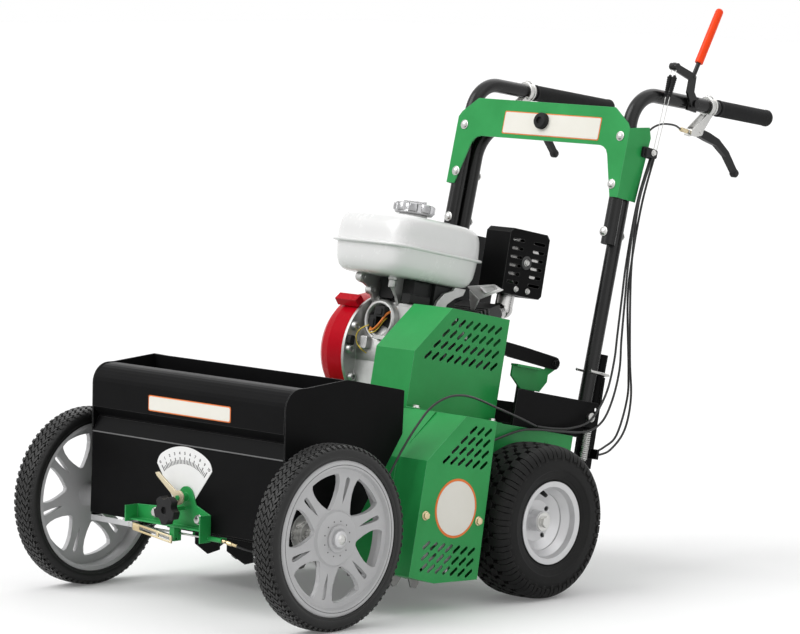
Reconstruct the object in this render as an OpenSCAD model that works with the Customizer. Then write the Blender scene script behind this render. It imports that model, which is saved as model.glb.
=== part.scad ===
// Walk-behind powered overseeder: seed box on its own axle, belt-driven slitting reel, folding handle.
// Millimetres. Z up, -Y front (seed box), +X the operator's left. Origin under the middle of the box.

/* [Overall] */
// Distance from the front axle back to the hinge of the seed box
hinge_back = 246.06; // [230:0.02:270]
// Nose-up angle of the machine frame in the transport position
frame_tilt = 11; // [9:0.5:12]
// Radial running clearance of shafts and pins
fit = 0.05; // [0.02:0.01:0.1]

/* [Front wheels] */
// Diameter over the front tyres
front_tyre_d = 380; // [360:1:400]
// Width of a front tyre
front_tyre_w = 60; // [50:1:70]
// Gap from a hopper end plate to the front tyre
front_gap = 42; // [36:1:55]
// Outer diameter of the spoked front wheel
front_rim_d = 318; // [300:1:330]
// Diameter of the front axle
front_axle_d = 19; // [16:0.5:25]
// Number of window pairs in a front wheel
front_spokes = 6; // [5:1:8]

/* [Rear wheels] */
// Diameter over the rear tyres
rear_tyre_d = 330; // [310:1:345]
// Width of a rear tyre
rear_tyre_w = 127; // [110:1:135]
// Gap from a rear axle bearing to the hub of the rear wheel
rear_gap = 18.5; // [16:0.5:30]
// Diameter of the rear rim flange
rear_rim_d = 177; // [165:1:190]
// Diameter of the rear axle
rear_axle_d = 25; // [20:0.5:30]

/* [Seed box] */
// Width inside the hopper end plates
hopper_w = 580; // [540:2:600]
// Sheet thickness of the hopper
hopper_t = 2.5; // [1.5:0.1:3]
// Thickness of the hopper end plates
end_plate_t = 3; // [2:0.5:4]
// Number of seed slots in the hopper bottom
seed_slots = 12; // [8:1:16]
// Rate knob diameter
knob_d = 60; // [45:1:70]

/* [Deck and guards] */
// Half width of the reel housing
deck_half_w = 285; // [275:1:290]
// Deck plate thickness
deck_t = 5; // [4:0.5:6]
// Guard sheet thickness
guard_t = 2.5; // [1.5:0.5:3]
// Vent slot pitch in the guards
slot_pitch = 23; // [20:0.5:26]

/* [Reel] */
// Radius over the slitting blades
blade_r = 92; // [80:1:96]
// Number of slitting blades
blade_count = 12; // [8:1:16]
// Thickness of a blade
blade_t = 4; // [3:0.5:6]

/* [Handle] */
// Outer diameter of the handle tubes
tube_d = 32; // [28:0.5:34]
// Backward lean of the handle against the machine frame
handle_lean = 2.4; // [0:0.2:5]
// Rise of the grip legs above the handle square
grip_rise = 5; // [0:0.5:8]
// Outer diameter of the grip sleeves
grip_d = 38; // [35:0.5:42]
// Number of coils in the return spring
spring_coils = 8; // [6:1:10]

/* [Hidden] */
$fn = 48;
coil_steps = 8;
gate_coil = coil(5.5, 84, 9, coil_steps);
return_coil = coil(8, 65, spring_coils, coil_steps);
front_r = front_tyre_d / 2;
rear_r = rear_tyre_d / 2;
rear_reach = 866.4;
hinge_my = -430;
hinge_mz = 200;
wheelbase = hinge_back - hinge_my * cos(frame_tilt) - hinge_mz * sin(frame_tilt);
y_front = (front_r - wheelbase - rear_reach) / 2;
y_rear = y_front + wheelbase;
hw = hopper_w / 2;
front_x = hw + end_plate_t + front_gap + front_tyre_w / 2;
bearing_end = 273;
rear_hub = 48;
rear_x = bearing_end + rear_gap + rear_hub;
pivot_y = 232;
pivot_z = 239;
hinge_hy = hinge_back;
hinge_hz = rear_r - hinge_my * sin(frame_tilt) + hinge_mz * cos(frame_tilt);
crank_y = -78;
crank_z = 310;
fan_x = -99;
jack_y = -235;
jack_z = 125;
reel_y = -272;
reel_z = -95;
hydro_y = -72;
hydro_z = 120;
idler_y = -118;
idler_z = 238;
drive_x = 128;
hydro_x = 168;
reel_belt_x = 322;
latch_y = 168;
latch_z = 343;
dial_x = 10;
dial_z = 236;
knob_x = 5;
knob_z = 212;
tube_x = 230;
jay_x = 239;
jay_y = -31;
panel_y = jay_y - tube_d / 2 - 0.1;
green = [0.10, 0.40, 0.19];
white = [0.90, 0.90, 0.89];
brass = [0.74, 0.64, 0.42];
black = [0.09, 0.09, 0.09];
red = [0.75, 0.12, 0.10];
zinc = [0.75, 0.75, 0.72];
alloy = [0.62, 0.62, 0.60];
rubber = [0.07, 0.07, 0.07];
steel = [0.55, 0.56, 0.58];

function unit(v) = v / norm(v);
function left_of(a, b) = let (d = unit(b - a)) [-d[1], d[0]];
function mitre(n0, n1, t) = let (m = n0 + n1) m * (2 * t / (m * m));
function arc(cy, cz, r, a0, a1, n) =
  [for (i = [0:n]) [cy + r * cos(a0 + (a1 - a0) * i / n), cz + r * sin(a0 + (a1 - a0) * i / n)]];
function sheet_side(p, t) = let (k = len(p) - 1)
  [for (i = [k:-1:0]) p[i] + mitre(left_of(p[max(i - 1, 0)], p[max(i, 1)]),
    left_of(p[min(i, k - 1)], p[min(i + 1, k)]), t)];
function sheet(p, t) = concat(p, sheet_side(p, t));
function inset(p, t) = let (n = len(p))
  [for (i = [0:n - 1]) p[i] + mitre(left_of(p[(i + n - 1) % n], p[i]), left_of(p[i], p[(i + 1) % n]), t)];
function curve_at(a, b, c, d, t) =
  0.5 * (2 * b + (c - a) * t + (2 * a - 5 * b + 4 * c - d) * t * t + (3 * b - a - 3 * c + d) * t * t * t);
function curve(p, m) = let (k = len(p) - 1)
  concat([for (i = [0:k - 1]) for (j = [0:m - 1])
    curve_at(p[max(i - 1, 0)], p[i], p[i + 1], p[min(i + 2, k)], j / m)], [p[k]]);
function ring(p, t, r, n, ref) = let (u = unit(cross(t, ref)), v = cross(u, t))
  [for (k = [0:n - 1]) p + r * (cos(360 * k / n) * u + sin(360 * k / n) * v)];
function rings(p, r, n, ref) = let (k = len(p) - 1)
  [for (i = [0:k]) ring(p[i], unit(p[min(i + 1, k)] - p[max(i - 1, 0)]), r, n, ref)];
function coil(r, h, turns, n) =
  [for (i = [0:turns * n]) [r * cos(360 * i / n), r * sin(360 * i / n), h * i / (turns * n)]];
// Least gap of a coil to itself: points one turn apart, less the wire
function coil_gap(p, wire) =
  min([for (i = [0:len(p) - coil_steps - 1]) norm(p[i + coil_steps] - p[i])]) - wire;
function lobe(x) = sign(x) * pow(abs(x), 0.3);

module along_x(x0, x1) {
  translate([x0, 0, 0])
    rotate([90, 0, 90])
      linear_extrude(x1 - x0)
        children();
}

module along_y(y0, y1) {
  translate([0, y1, 0])
    rotate([90, 0, 0])
      linear_extrude(y1 - y0)
        children();
}

module rod(x0, x1, d, y, z) {
  translate([x0, y, z])
    rotate([0, 90, 0])
      cylinder(d = d, h = x1 - x0);
}

module both() {
  children();
  mirror([1, 0, 0])
    children();
}

module slot(l, w) {
  square([l - w, w], center = true);
  translate([(l - w) / 2, 0])
    circle(d = w);
  translate([(w - l) / 2, 0])
    circle(d = w);
}

module box(x0, x1, y0, y1, z0, z1) {
  translate([x0, y0, z0])
    cube([x1 - x0, y1 - y0, z1 - z0]);
}

module loft(rs) {
  n = len(rs[0]);
  k = len(rs) - 1;
  polyhedron(
    points = [for (q = rs) for (p = q) p],
    faces = concat(
      [[for (j = [n - 1:-1:0]) j]],
      [for (i = [0:k - 1]) for (j = [0:n - 1])
        [i * n + j, i * n + (j + 1) % n, (i + 1) * n + (j + 1) % n, (i + 1) * n + j]],
      [[for (j = [0:n - 1]) k * n + j]]));
}

module in_seedbox() {
  translate([0, y_front, 0])
    children();
}

module in_machine() {
  translate([0, y_rear, rear_r])
    rotate([-frame_tilt, 0, 0])
      children();
}

module in_handle() {
  in_machine()
    translate([0, pivot_y, pivot_z])
      rotate([-handle_lean, 0, 0])
        children();
}

hopper_path = concat([[0, 483]], arc(-17, 441, 42, 90, 180, 8),
  [[-60, 394], [-40, 374], [-28, 168], [24, 168], [112, 300], [115, 493]]);

module seed_hopper() {
  color(black)
    in_seedbox()
      difference() {
        union() {
          along_x(-hw, hw)
            polygon(sheet(hopper_path, hopper_t));
          along_x(-hw, hw)
            polygon([[113, 489], [121, 488.2], [121, 490.7], [113, 491.5]]);
          both()
            along_x(156, 162)
              polygon(concat([[112.5, 400], [200, 420]],
                arc(hinge_hy, hinge_hz, 18, -75, 75, 8), [[200, 472], [114, 480]]));
          box(-88, hw - 6, -26.5, -23, 157, 169);
          box(-88, hw - 6, -26.5, -19, 157, 160.4);
          box(4 - hw, hw - 6, 20.5, 24, 157, 169);
          box(4 - hw, hw - 6, 17, 24, 157, 160.4);
          along_y(24, 27)
            polygon([[-57, 166], [-57, 122], [-18, 105], [17, 118], [17, 166]]);
          along_y(24, 27)
            polygon([[40, 166], [40, 118], [95, 97], [119, 104], [119, 166]]);
          box(-57, 119, 22, 27, 157, 166);
        }
        rod(-200, 200, 12 + 2 * fit, hinge_hy, hinge_hz);
        for (i = [0:seed_slots - 1])
          translate([-hw + hopper_w * (i + 0.5) / seed_slots, -2, 160])
            linear_extrude(20)
              slot(24, 9);
      }
}

module hopper_end_plates() {
  color(black)
    in_seedbox()
      both()
        difference() {
          along_x(hw, hw + end_plate_t)
            polygon(concat([[-57, 161], [58, 161], [150, 202], [229, 304], [278, 371]],
              [[281, 461], [270, 464], [115, 494]], [[0, 484.5]], arc(-17, 442.5, 42, 90, 180, 8)));
          rod(hw - 5, hw + 9, front_axle_d + 6, 0, front_r);
        }
}

module lower_front_cover() {
  color(black)
    in_seedbox()
      along_x(-hw, hw)
        polygon(sheet([[-42.5, 372], [-58, 341], [-62, 169], [-30, 165]], hopper_t));
}

module adjuster_bracket() {
  color(green)
    in_seedbox()
      difference() {
        union() {
          along_y(-65, -62)
            polygon(concat([[-138, 174], [83, 174], [83, 206], [40, 222]],
              arc(dial_x, dial_z, 22, 20, 160, 8), [[-28, 222], [-70, 208], [-138, 204]]));
          box(-138, 83, -86, -62, 173, 176);
          box(-141, -138, -98, -62, 170, 204);
          box(80, 83, -92, -62, 150, 206);
          translate([dial_x, -62, dial_z])
            rotate([90, 0, 0])
              cylinder(d = 18, h = 21);
          translate([dial_x, -80, dial_z])
            rotate([90, 0, 0])
              cylinder(d = 10, h = 11);
          translate([knob_x, -62, knob_z])
            rotate([90, 0, 0])
              cylinder(d = 8, h = 46);
          difference() {
            rod(83, 122, 10, -66, 158.5);
            rod(70, 118, 5.2, -66, 158.5);
          }
          box(-20, -6, -82, -62, 143, 176);
        }
        rod(-30, 90, 5.2, -66, 158.5);
        translate([-13, -75, 147])
          rotate([0, 90, 0])
            cylinder(d = 5, h = 40, center = true);
        for (x = [-81, 50])
          translate([x, -60, 193])
            rotate([90, 0, 0])
              linear_extrude(10)
                slot(28, 9);
      }
}

module gate_spring() {
  echo(gate_spring_gap = coil_gap(gate_coil, 2.2));
  color(zinc)
    in_seedbox()
      translate([-104.6, -77, 160.5])
        rotate([0, 98, 0])
          loft(rings(gate_coil, 1.1, 6, [0.05, 0.02, 1]));
}

module axle_bearings() {
  color(steel)
    in_seedbox()
      both()
        difference() {
          union() {
            rod(hw + end_plate_t, hw + end_plate_t + 4, 80, 0, front_r);
            rod(hw + end_plate_t, hw + end_plate_t + 15, 48, 0, front_r);
          }
          rod(hw, hw + 40, front_axle_d + 2 * fit, 0, front_r);
        }
}

module seedbox_hinge_pins() {
  color(zinc)
    in_seedbox()
      both() {
        rod(140, 166, 12, hinge_hy, hinge_hz);
        translate([162, hinge_hy, hinge_hz])
          rotate([0, 90, 0])
            cylinder(d = 20, h = 7, $fn = 6);
      }
}

module front_axle() {
  color(steel)
    in_seedbox()
      translate([0, 0, front_r]) {
        rod(-front_x - 30, front_x + 30, front_axle_d, 0, 0);
        both()
          translate([front_x + 28.5, 0, 0])
            rotate([0, 90, 0])
              rotate_extrude()
                polygon([[0, 0], [16, 0], [16, 3], [12, 8], [6, 11], [0, 11.5]]);
        both()
          rod(hw + end_plate_t + 15.6, front_x - 28.5, 26, 0, 0);
        for (i = [0:11])
          translate([(hw - 26) * (2 * i / 11 - 1), 0, 0])
            rotate([45 * (i % 4), 0, 0])
              cylinder(d = 5, h = 36, center = true);
      }
}

petal = [[126, 37], [118, 39], [106, 36.5], [92, 30], [78, 20], [66, 9], [61, 3.5]];

module window_cut() {
  k = len(petal) - 1;
  polygon(concat(arc(0, 0, 131, -13, 13, 8), petal, [for (i = [k:-1:0]) [petal[i][0], -petal[i][1]]]));
}

module spoke_slot() {
  polygon(concat([[70, 0], [84, -2.6], [104, -4.8]], arc(120, 0, 5.6, -80, 80, 6), [[104, 4.8], [84, 2.6]]));
}

module front_wheel() {
  bore = front_axle_d / 2 + fit;
  rim = front_rim_d / 2;
  rotate([0, 90, 0])
    difference() {
      rotate_extrude()
        polygon([[bore, -28], [21, -28], [24, 6], [rim - 11, 8], [rim - 9, -25], [rim, -25], [rim, 26],
          [rim - 4, 29], [rim - 14, 29], [rim - 18, 20], [58, 17], [54, 22], [26, 24], [23, 28], [bore, 28]]);
      for (i = [0:front_spokes - 1])
        rotate([0, 0, 360 * i / front_spokes])
          translate([0, 0, -40])
            linear_extrude(80)
              window_cut();
      for (i = [0:front_spokes - 1])
        rotate([0, 0, 360 * (i + 0.5) / front_spokes])
          translate([0, 0, -40])
            linear_extrude(80)
              spoke_slot();
    }
}

module front_tyre() {
  w = front_tyre_w / 2;
  rim = front_rim_d / 2;
  rotate([0, 90, 0])
    rotate_extrude()
      polygon(concat([[rim, -25], [rim + 6, -w + 1]], arc(front_r - 13, -w + 13, 13, -90, -20, 5),
        [[front_r, 0]], arc(front_r - 13, w - 13, 13, 20, 90, 5), [[rim + 6, w - 1], [rim, 25]]));
}

module front_left_wheel() {
  color(alloy)
    in_seedbox()
      translate([front_x, 0, front_r])
        rotate([15, 0, 0])
          front_wheel();
}

module front_right_wheel() {
  color(alloy)
    in_seedbox()
      mirror([1, 0, 0])
        translate([front_x, 0, front_r])
          rotate([15, 0, 0])
            front_wheel();
}

module front_left_tyre() {
  color(rubber)
    in_seedbox()
      translate([front_x, 0, front_r])
        front_tyre();
}

module front_right_tyre() {
  color(rubber)
    in_seedbox()
      translate([-front_x, 0, front_r])
        front_tyre();
}

module rate_pointer() {
  color(brass)
    in_seedbox()
      translate([dial_x, 0, dial_z])
        along_y(-88, -83.6)
          difference() {
            union() {
              circle(d = 30);
              polygon([[-6, 12], [-62, 47], [-70, 45], [-66, 39], [-12, 0]]);
            }
            circle(d = 10 + 2 * fit);
          }
}

module rate_knob() {
  color(black)
    in_seedbox()
      translate([knob_x, 0, knob_z])
        difference() {
          union() {
            along_y(-122, -104)
              difference() {
                circle(d = knob_d);
                for (i = [0:4])
                  rotate(72 * i + 18)
                    translate([knob_d / 2 + 5, 0])
                      circle(d = 24);
              }
            along_y(-106, -95)
              circle(d = 26);
          }
          along_y(-110, -90)
            circle(d = 8 + 2 * fit);
          along_y(-124, -116)
            circle(d = 16);
        }
}

module seed_gate() {
  color(zinc)
    in_seedbox() {
      difference() {
        union() {
          box(6 - hw, hw - 32, -18.6, 16.6, 161, 164.4);
          box(-150, -112, -78, -10, 161, 164.4);
        }
        for (i = [0:seed_slots - 1])
          translate([-hw - 22 + hopper_w * (i + 0.5) / seed_slots, -2, 150])
            linear_extrude(20)
              slot(24, 9);
      }
      box(-150, -114, -80, -78, 157, 166);
      rod(-112, 92, 4.6, -66, 158.5);
      box(-118, -106, -70, -62, 158, 162);
    }
}

deck_side = [[-381, -150], [-188, -140], [-188, 192], [-289, 192], [-381, 86]];
chassis_side = [[-188, 192], [-188, -20], [-70, -52], [70, -52], [110, 40], [176, 118], [176, 192]];

module deck() {
  color(green)
    in_machine()
      difference() {
        union() {
          box(-deck_half_w, deck_half_w, -289, -184, 187, 192);
          box(-262, 262, -184, 176, 187, 192);
          along_x(-deck_half_w, deck_half_w)
            polygon(sheet([[-250, 192], [-289, 192], [-381, 86], [-381, -150]], deck_t));
          both()
            along_x(deck_half_w - deck_t, deck_half_w)
              polygon(deck_side);
          both()
            along_x(257, 262)
              polygon(chassis_side);
          both()
            box(257, deck_half_w, -189, -184, -140, 192);
          box(-257, 257, -138, -134, -60, 190);
          box(-257, 257, 171, 176, 130, 190);
          box(90, 96, -280, -134, 82, 190);
          both()
            along_x(146, 154)
              polygon(concat([[-230, 190], [-289, 190], [-318, 156]],
                arc(hinge_my, hinge_mz, 18, 285, 95, 10), [[-300, 224], [-230, 206]]));
        }
        both()
          rod(140, 160, 12 + 2 * fit, hinge_my, hinge_mz);
        both()
          rod(250, 270, 34, 0, 0);
        rod(80, 300, 34, jack_y, jack_z);
        both()
          rod(270, 300, 34, reel_y, reel_z);
        box(108, 148, -276, -30, 180, 200);
        box(152, 184, -140, -16, 180, 200);
        box(108, 148, -142, -130, 130, 200);
      }
}

lower_outline = [[-380, -154], [-303, -160], [-175, -140], [-190, 192], [-284, 192], [-380, 88]];
upper_outline = [[-290, 192], [-14, 192], [-14, 416], [-197, 416], [-290, 313]];

module slots(rows) {
  for (r = rows)
    for (k = [0:r[2] - 1])
      translate([r[0] - slot_pitch * k, r[1]])
        rotate(42)
          slot(26, 7.5);
}

module lower_belt_guard() {
  color(green)
    in_machine()
      difference() {
        union() {
          along_x(deck_half_w, 370)
            difference() {
              polygon(lower_outline);
              polygon(inset(lower_outline, guard_t));
            }
          along_x(370 - guard_t, 370)
            polygon(lower_outline);
        }
        along_x(360, 380)
          slots([[-210, 166, 3], [-210, 143, 4], [-209, 120, 5], [-208, 97, 6], [-205, -84, 7],
            [-204, -107, 7], [-203, -130, 7]]);
        translate([303, -190, 118])
          rotate([-90, 0, 0])
            cylinder(d = 8, h = 30, center = true);
      }
}

module upper_belt_guard() {
  color(green)
    in_machine()
      difference() {
        union() {
          along_x(86, 200)
            difference() {
              polygon(upper_outline);
              polygon(concat([[-290 + guard_t, 180], [-14 - guard_t, 180]],
                [for (i = [2:4]) inset(upper_outline, guard_t)[i]]));
            }
          along_x(200 - guard_t, 200)
            polygon(upper_outline);
          box(199, 224, -290, -14, 192, 194.5);
        }
        along_x(190, 210)
          slots([[-44, 388, 7], [-43, 362, 8], [-42, 336, 9], [-41, 310, 10]]);
        for (y = [-273, -35])
          translate([213, y, 185])
            cylinder(d = 7, h = 20);
        box(145.4, 154.6, -295, -280, 180, 224);
      }
}

module post_lock() {
  for (s = [-1, 1])
    translate([20.5 * s, -22, 99])
      rotate([-90, 0, 0])
        cylinder(d = 5, h = 51.5);
  translate([0, 29.5, 99])
    difference() {
      rotate_extrude()
        translate([20.5, 0])
          circle(d = 5);
      translate([-40, -40, -10])
        cube([80, 40, 20]);
    }
  translate([0, 29.5 + 15, 99])
    cube([4, 10, 4], center = true);
}

module handle_base() {
  color(black)
    in_machine()
      both() {
        difference() {
          along_x(246.5, 251.5)
            polygon([[-10, 192], [205, 192], [205, 132], [222, 126], [262, 128], [262, 262], [252, 272],
              [-10, 272]]);
          rod(240, 260, 10 + 2 * fit, pivot_y, pivot_z);
          rod(240, 260, 11, 250, 258);
        }
        difference() {
          along_x(208.5, 213.5)
            polygon([[190, 192], [262, 192], [262, 262], [252, 272], [190, 272]]);
          rod(200, 220, 10 + 2 * fit, pivot_y, pivot_z);
        }
        box(208.5, 251.5, -10, 262, 192, 197);
        box(-1, 208.5, 236, 262, 192, 197);
        box(-1, 208.5, 257, 262, 192, 250);
        box(213, 247, 264.5, 269, 262, 330);
        box(213, 247, 257, 269, 262, 268);
        box(164, 172, 78, 130, 192, 300);
        box(164, 215, 78, 130, 192, 197);
        rod(251, 272, 6, 219, 214);
        rod(251, 272, 6, 219, 140);
        box(251, 273, 251, 257, 150, 172);
        translate([tube_x, pivot_y, pivot_z])
          rotate([-handle_lean, 0, 0]) {
            difference() {
              translate([0, 29.5, 24])
                cylinder(d = 25, h = 118);
              translate([0, 29.5, 10])
                cylinder(d = 20, h = 128);
            }
            post_lock();
          }
      }
}

module handle_pivot_bolts() {
  color(zinc)
    in_machine()
      both() {
        rod(203, 257, 10, pivot_y, pivot_z);
        rod(251.5, 258.5, 20, pivot_y, pivot_z);
        rod(201.5, 208.5, 18, pivot_y, pivot_z);
      }
}

module engine_block() {
  color(alloy)
    in_machine()
      difference() {
        union() {
          rod(fan_x + 3, 78, 184, crank_y, crank_z);
          box(fan_x + 5, 74, -166, 0, 204, 300);
          box(-90, 84, -182, 24, 198, 210);
          both()
            box(36, 60, -176, 18, 192, 200);
          rod(fan_x, fan_x + 7, 258, crank_y, crank_z);
          rod(76, 84, 120, crank_y, crank_z);
          box(-86, 60, -150, -30, 300, 410);
          rod(70, 104, 12, -40, 226);
          translate([72, -152, 238])
            rotate([0, 90, 0])
              cylinder(d = 26, h = 14, $fn = 12);
        }
        rod(fan_x - 5, 90, 32 + 2 * fit, crank_y, crank_z);
        box(fan_x - 15, fan_x + 8, -240, 90, 150, 198);
        for (a = [0:60:300])
          rod(80, 90, 7, crank_y + 48 * cos(a), crank_z + 48 * sin(a));
      }
}

module cylinder_fins() {
  for (i = [0:6])
    translate([10, 0, 105 + 11 * i])
      cube([118, 122, 4.5], center = true);
}

module cylinder_node() {
  color(black)
    in_machine()
      translate([0, crank_y, crank_z])
        rotate([-65, 0, 0])
          difference() {
            union() {
              translate([10, 0, 96.5])
                cylinder(d = 96, h = 78);
              translate([0, 0, 3])
                cylinder_fins();
              translate([10, 0, 192])
                cube([112, 116, 42], center = true);
              translate([10, 0, 205])
                cube([96, 96, 30], center = true);
            }
            rod(-60, 90, 184, 0, 0);
          }
}

function tank_ring(s, z) = [for (k = [0:43])
  [-38 + 110 * s * lobe(cos(-360 * k / 44)), -114 + 137 * s * lobe(sin(-360 * k / 44)), z]];

module fuel_tank() {
  color(white)
    in_machine()
      difference() {
        union() {
          loft([tank_ring(0.72, 470), tank_ring(0.84, 473), tank_ring(0.91, 482), tank_ring(0.95, 496),
            tank_ring(0.97, 512),
            tank_ring(0.98, 531), tank_ring(1.04, 532), tank_ring(1.04, 538), tank_ring(0.985, 539),
              tank_ring(0.975, 562),
            tank_ring(0.95, 583), tank_ring(0.9, 594), tank_ring(0.8, 601), tank_ring(0.62, 605),
              tank_ring(0.45, 606)]);
          translate([-38, -114, 600])
            cylinder(d = 62, h = 12);
        }
        loft([tank_ring(0.68, 474), tank_ring(0.8, 477), tank_ring(0.87, 486), tank_ring(0.92, 500),
          tank_ring(0.94, 516),
          tank_ring(0.94, 560), tank_ring(0.91, 580), tank_ring(0.86, 590), tank_ring(0.76, 597),
            tank_ring(0.6, 600)]);
        translate([-38, -114, 590])
          cylinder(d = 52, h = 30);
      }
}

module tank_brackets() {
  color(alloy)
    in_machine()
      difference() {
        union() {
          along_x(44, 52)
            polygon([[-96, 410], [-66, 410], [-60, 430], [-38, 446], [-14, 456], [-8, 471], [-40, 471],
              [-46, 462],
              [-72, 452], [-90, 432]]);
          along_x(-84, -76)
            polygon([[-150, 410], [-108, 410], [-104, 440], [-112, 471], [-204, 471], [-212, 462],
              [-206, 450],
              [-190, 448], [-172, 440], [-160, 424]]);
          along_x(-12, -4)
            polygon([[-150, 410], [-96, 410], [-92, 436], [-116, 458], [-150, 471], [-182, 471], [-182, 452],
              [-170, 440], [-158, 426]]);
          box(-86, 60, -150, -80, 410, 416);
        }
        box(-90, 90, -220, 0, 470, 480);
      }
}

module fan_cover() {
  color(red)
    in_machine()
      difference() {
        translate([fan_x + 55, crank_y, crank_z])
          rotate([0, -90, 0])
            difference() {
              rotate_extrude()
                polygon([[0, 165], [44, 165], [56, 161], [96, 146], [110, 138], [122, 122], [128, 100],
                  [129, 55],
                  [126, 55], [125, 99], [119, 120], [108, 135], [94, 143], [55, 158], [43, 162], [0, 162]]);
              for (i = [0:23])
                rotate([0, 0, 15 * i])
                  translate([74, 0, 130])
                    linear_extrude(50)
                      slot(26, 5);
              for (i = [0:9])
                rotate([0, 0, 36 * i])
                  translate([26, 0, 150])
                    cylinder(d = 8, h = 30);
            }
        box(fan_x - 140, 0, -240, 90, 150, 198);
      }
}

module muffler() {
  color(steel)
    in_machine() {
      rod(24, 84, 104, 127, 552);
      rod(80, 89.5, 24, 127, 552);
      bar([44, 132, 506], [44, 128, 446], 40);
      translate([44, 128, 446])
        sphere(d = 42);
      bar([44, 128, 446], [44, 128 - 23.9 * sin(65), 446 - 23.9 * cos(65)], 36);
    }
}

module muffler_guard() {
  color(black)
    in_machine()
      difference() {
        along_x(20, 92)
          polygon([[63, 486], [71, 478], [184, 478], [192, 486], [192, 612], [182, 622], [73, 622],
            [63, 612]]);
        along_x(22.5, 89.5)
          polygon([[65.5, 487], [72, 480.5], [183, 480.5], [189.5, 487], [189.5, 611], [181, 619.5],
            [74, 619.5], [65.5, 611]]);
        along_x(80, 100)
          for (r = [0:5])
            for (y = [93, 162])
              translate([y, 505 + 18.6 * r])
                slot(38, 6.5);
        for (k = [0:4])
          translate([56, 86 + 21 * k, 610])
            linear_extrude(20)
              slot(50, 7);
        box(22.6, 66, 100, 158, 470, 484);
        rod(10, 24, 60, 127, 552);
      }
}

module air_cleaner() {
  color(black)
    in_machine()
      difference() {
        union() {
          along_x(-162, -52)
            polygon(concat([[66, 452], [188, 452]], arc(168, 580, 20, 0, 90, 5),
              arc(86, 580, 20, 90, 180, 5)));
          box(-150, -64, 78, 176, 440, 454);
          translate([-106, 127, 598])
            cylinder(d = 34, h = 14);
          box(-96, -46, 92, 150, 420, 442);
        }
        for (z = [480, 500, 520])
          box(-170, -158, 80, 174, z, z + 5);
      }
}

module transaxle() {
  color(alloy)
    in_machine()
      difference() {
        union() {
          rod(-255, 255, 42, 0, 0);
          along_x(-72, 72)
            polygon([[-80, -50], [60, -50], [72, -30], [72, 60], [40, 96], [-20, 182], [-110, 182],
              [-110, 20]]);
          rod(72, 146, 50, hydro_y, hydro_z);
          box(-60, 60, -100, -30, 180, 187);
        }
        rod(-300, 300, rear_axle_d + 2 * fit, 0, 0);
        rod(60, 200, 16 + 2 * fit, hydro_y, hydro_z);
      }
}

module bearing(x0, y, z, d) {
  difference() {
    union() {
      rod(x0, x0 + 5, 62, y, z);
      rod(x0, x0 + 13, 40, y, z);
    }
    rod(x0 - 2, x0 + 20, d + 2 * fit, y, z);
  }
}

module shaft_bearings() {
  color(steel)
    in_machine() {
      both()
        difference() {
          union() {
            rod(262, 266, 76, 0, 0);
            rod(262, bearing_end, 50, 0, 0);
          }
          rod(250, 290, rear_axle_d + 2 * fit, 0, 0);
        }
      bearing(deck_half_w, jack_y, jack_z, 20);
      bearing(96, jack_y, jack_z, 20);
      bearing(deck_half_w, reel_y, reel_z, 25);
      mirror([1, 0, 0])
        bearing(deck_half_w, reel_y, reel_z, 25);
    }
}

module latch_bracket() {
  color(green)
    in_machine()
      difference() {
        union() {
          along_x(172, 177)
            polygon([[44, 327], [44, 300], [78, 276], [140, 276], [160, 300], [160, 316], [180, 330],
              [180, 352], [172, 358], [158, 352], [150, 327]]);
          box(170, 190, 44, 120, 322, 327);
        }
        rod(160, 190, 10 + 2 * fit, latch_y, latch_z);
      }
}

module latch_arm() {
  color(black)
    in_machine() {
      along_x(178, 186)
        polygon(concat([[-8, 370], [-8, 344], [20, 338]], arc(latch_y, latch_z, 14, -90, 90, 6),
          [[60, 366]]));
      rod(168, 178.5, 10, latch_y, latch_z);
      translate([186, latch_y, latch_z])
        rotate([0, 90, 0])
          cylinder(d = 17, h = 6, $fn = 6);
    }
}

module return_spring() {
  echo(return_spring_gap = coil_gap(return_coil, 2.8));
  color(steel)
    in_machine()
      translate([262.5, 219, 144.5])
        loft(rings(return_coil, 1.4, 6, [0.03, 0.02, 1]));
}

function belt_out(a, ra, b, rb) = let (d = norm(b - a), g = atan2(b[1] - a[1], b[0] - a[0]),
  k = acos((ra - rb) / d))
  concat(arc(a[0], a[1], ra, g + k, g + 360 - k, 16), arc(b[0], b[1], rb, g - k, g + k, 16));

module belt(x, a, ra, b, rb) {
  along_x(x - 6, x + 6)
    difference() {
      polygon(belt_out(a, ra + 4.6, b, rb + 4.6));
      polygon(belt_out(a, ra + 0.4, b, rb + 0.4));
    }
}

module belts() {
  color(rubber)
    in_machine() {
      belt(drive_x, [crank_y, crank_z], 42, [jack_y, jack_z], 52);
      belt(hydro_x, [crank_y, crank_z], 36, [hydro_y, hydro_z], 38);
      belt(reel_belt_x, [jack_y, jack_z], 34, [reel_y, reel_z], 44);
    }
}

module sheave(x, r, bore, y, z) {
  translate([x, y, z])
    rotate([0, 90, 0])
      rotate_extrude()
        polygon([[bore, -12], [r + 8, -12], [r + 8, -10], [r, -7], [r, 7], [r + 8, 10], [r + 8, 12],
          [bore, 12]]);
}

module crankshaft() {
  color(steel)
    in_machine() {
      rod(fan_x - 5, 188, 32, crank_y, crank_z);
      rod(fan_x - 23, fan_x - 5, 208, crank_y, crank_z);
      rod(fan_x - 65, fan_x - 23, 60, crank_y, crank_z);
      sheave(drive_x, 42, 10, crank_y, crank_z);
      sheave(hydro_x, 36, 10, crank_y, crank_z);
    }
}

module jackshaft() {
  color(steel)
    in_machine() {
      rod(84, 344, 20, jack_y, jack_z);
      sheave(drive_x, 52, 8, jack_y, jack_z);
      sheave(reel_belt_x, 34, 8, jack_y, jack_z);
    }
}

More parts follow.
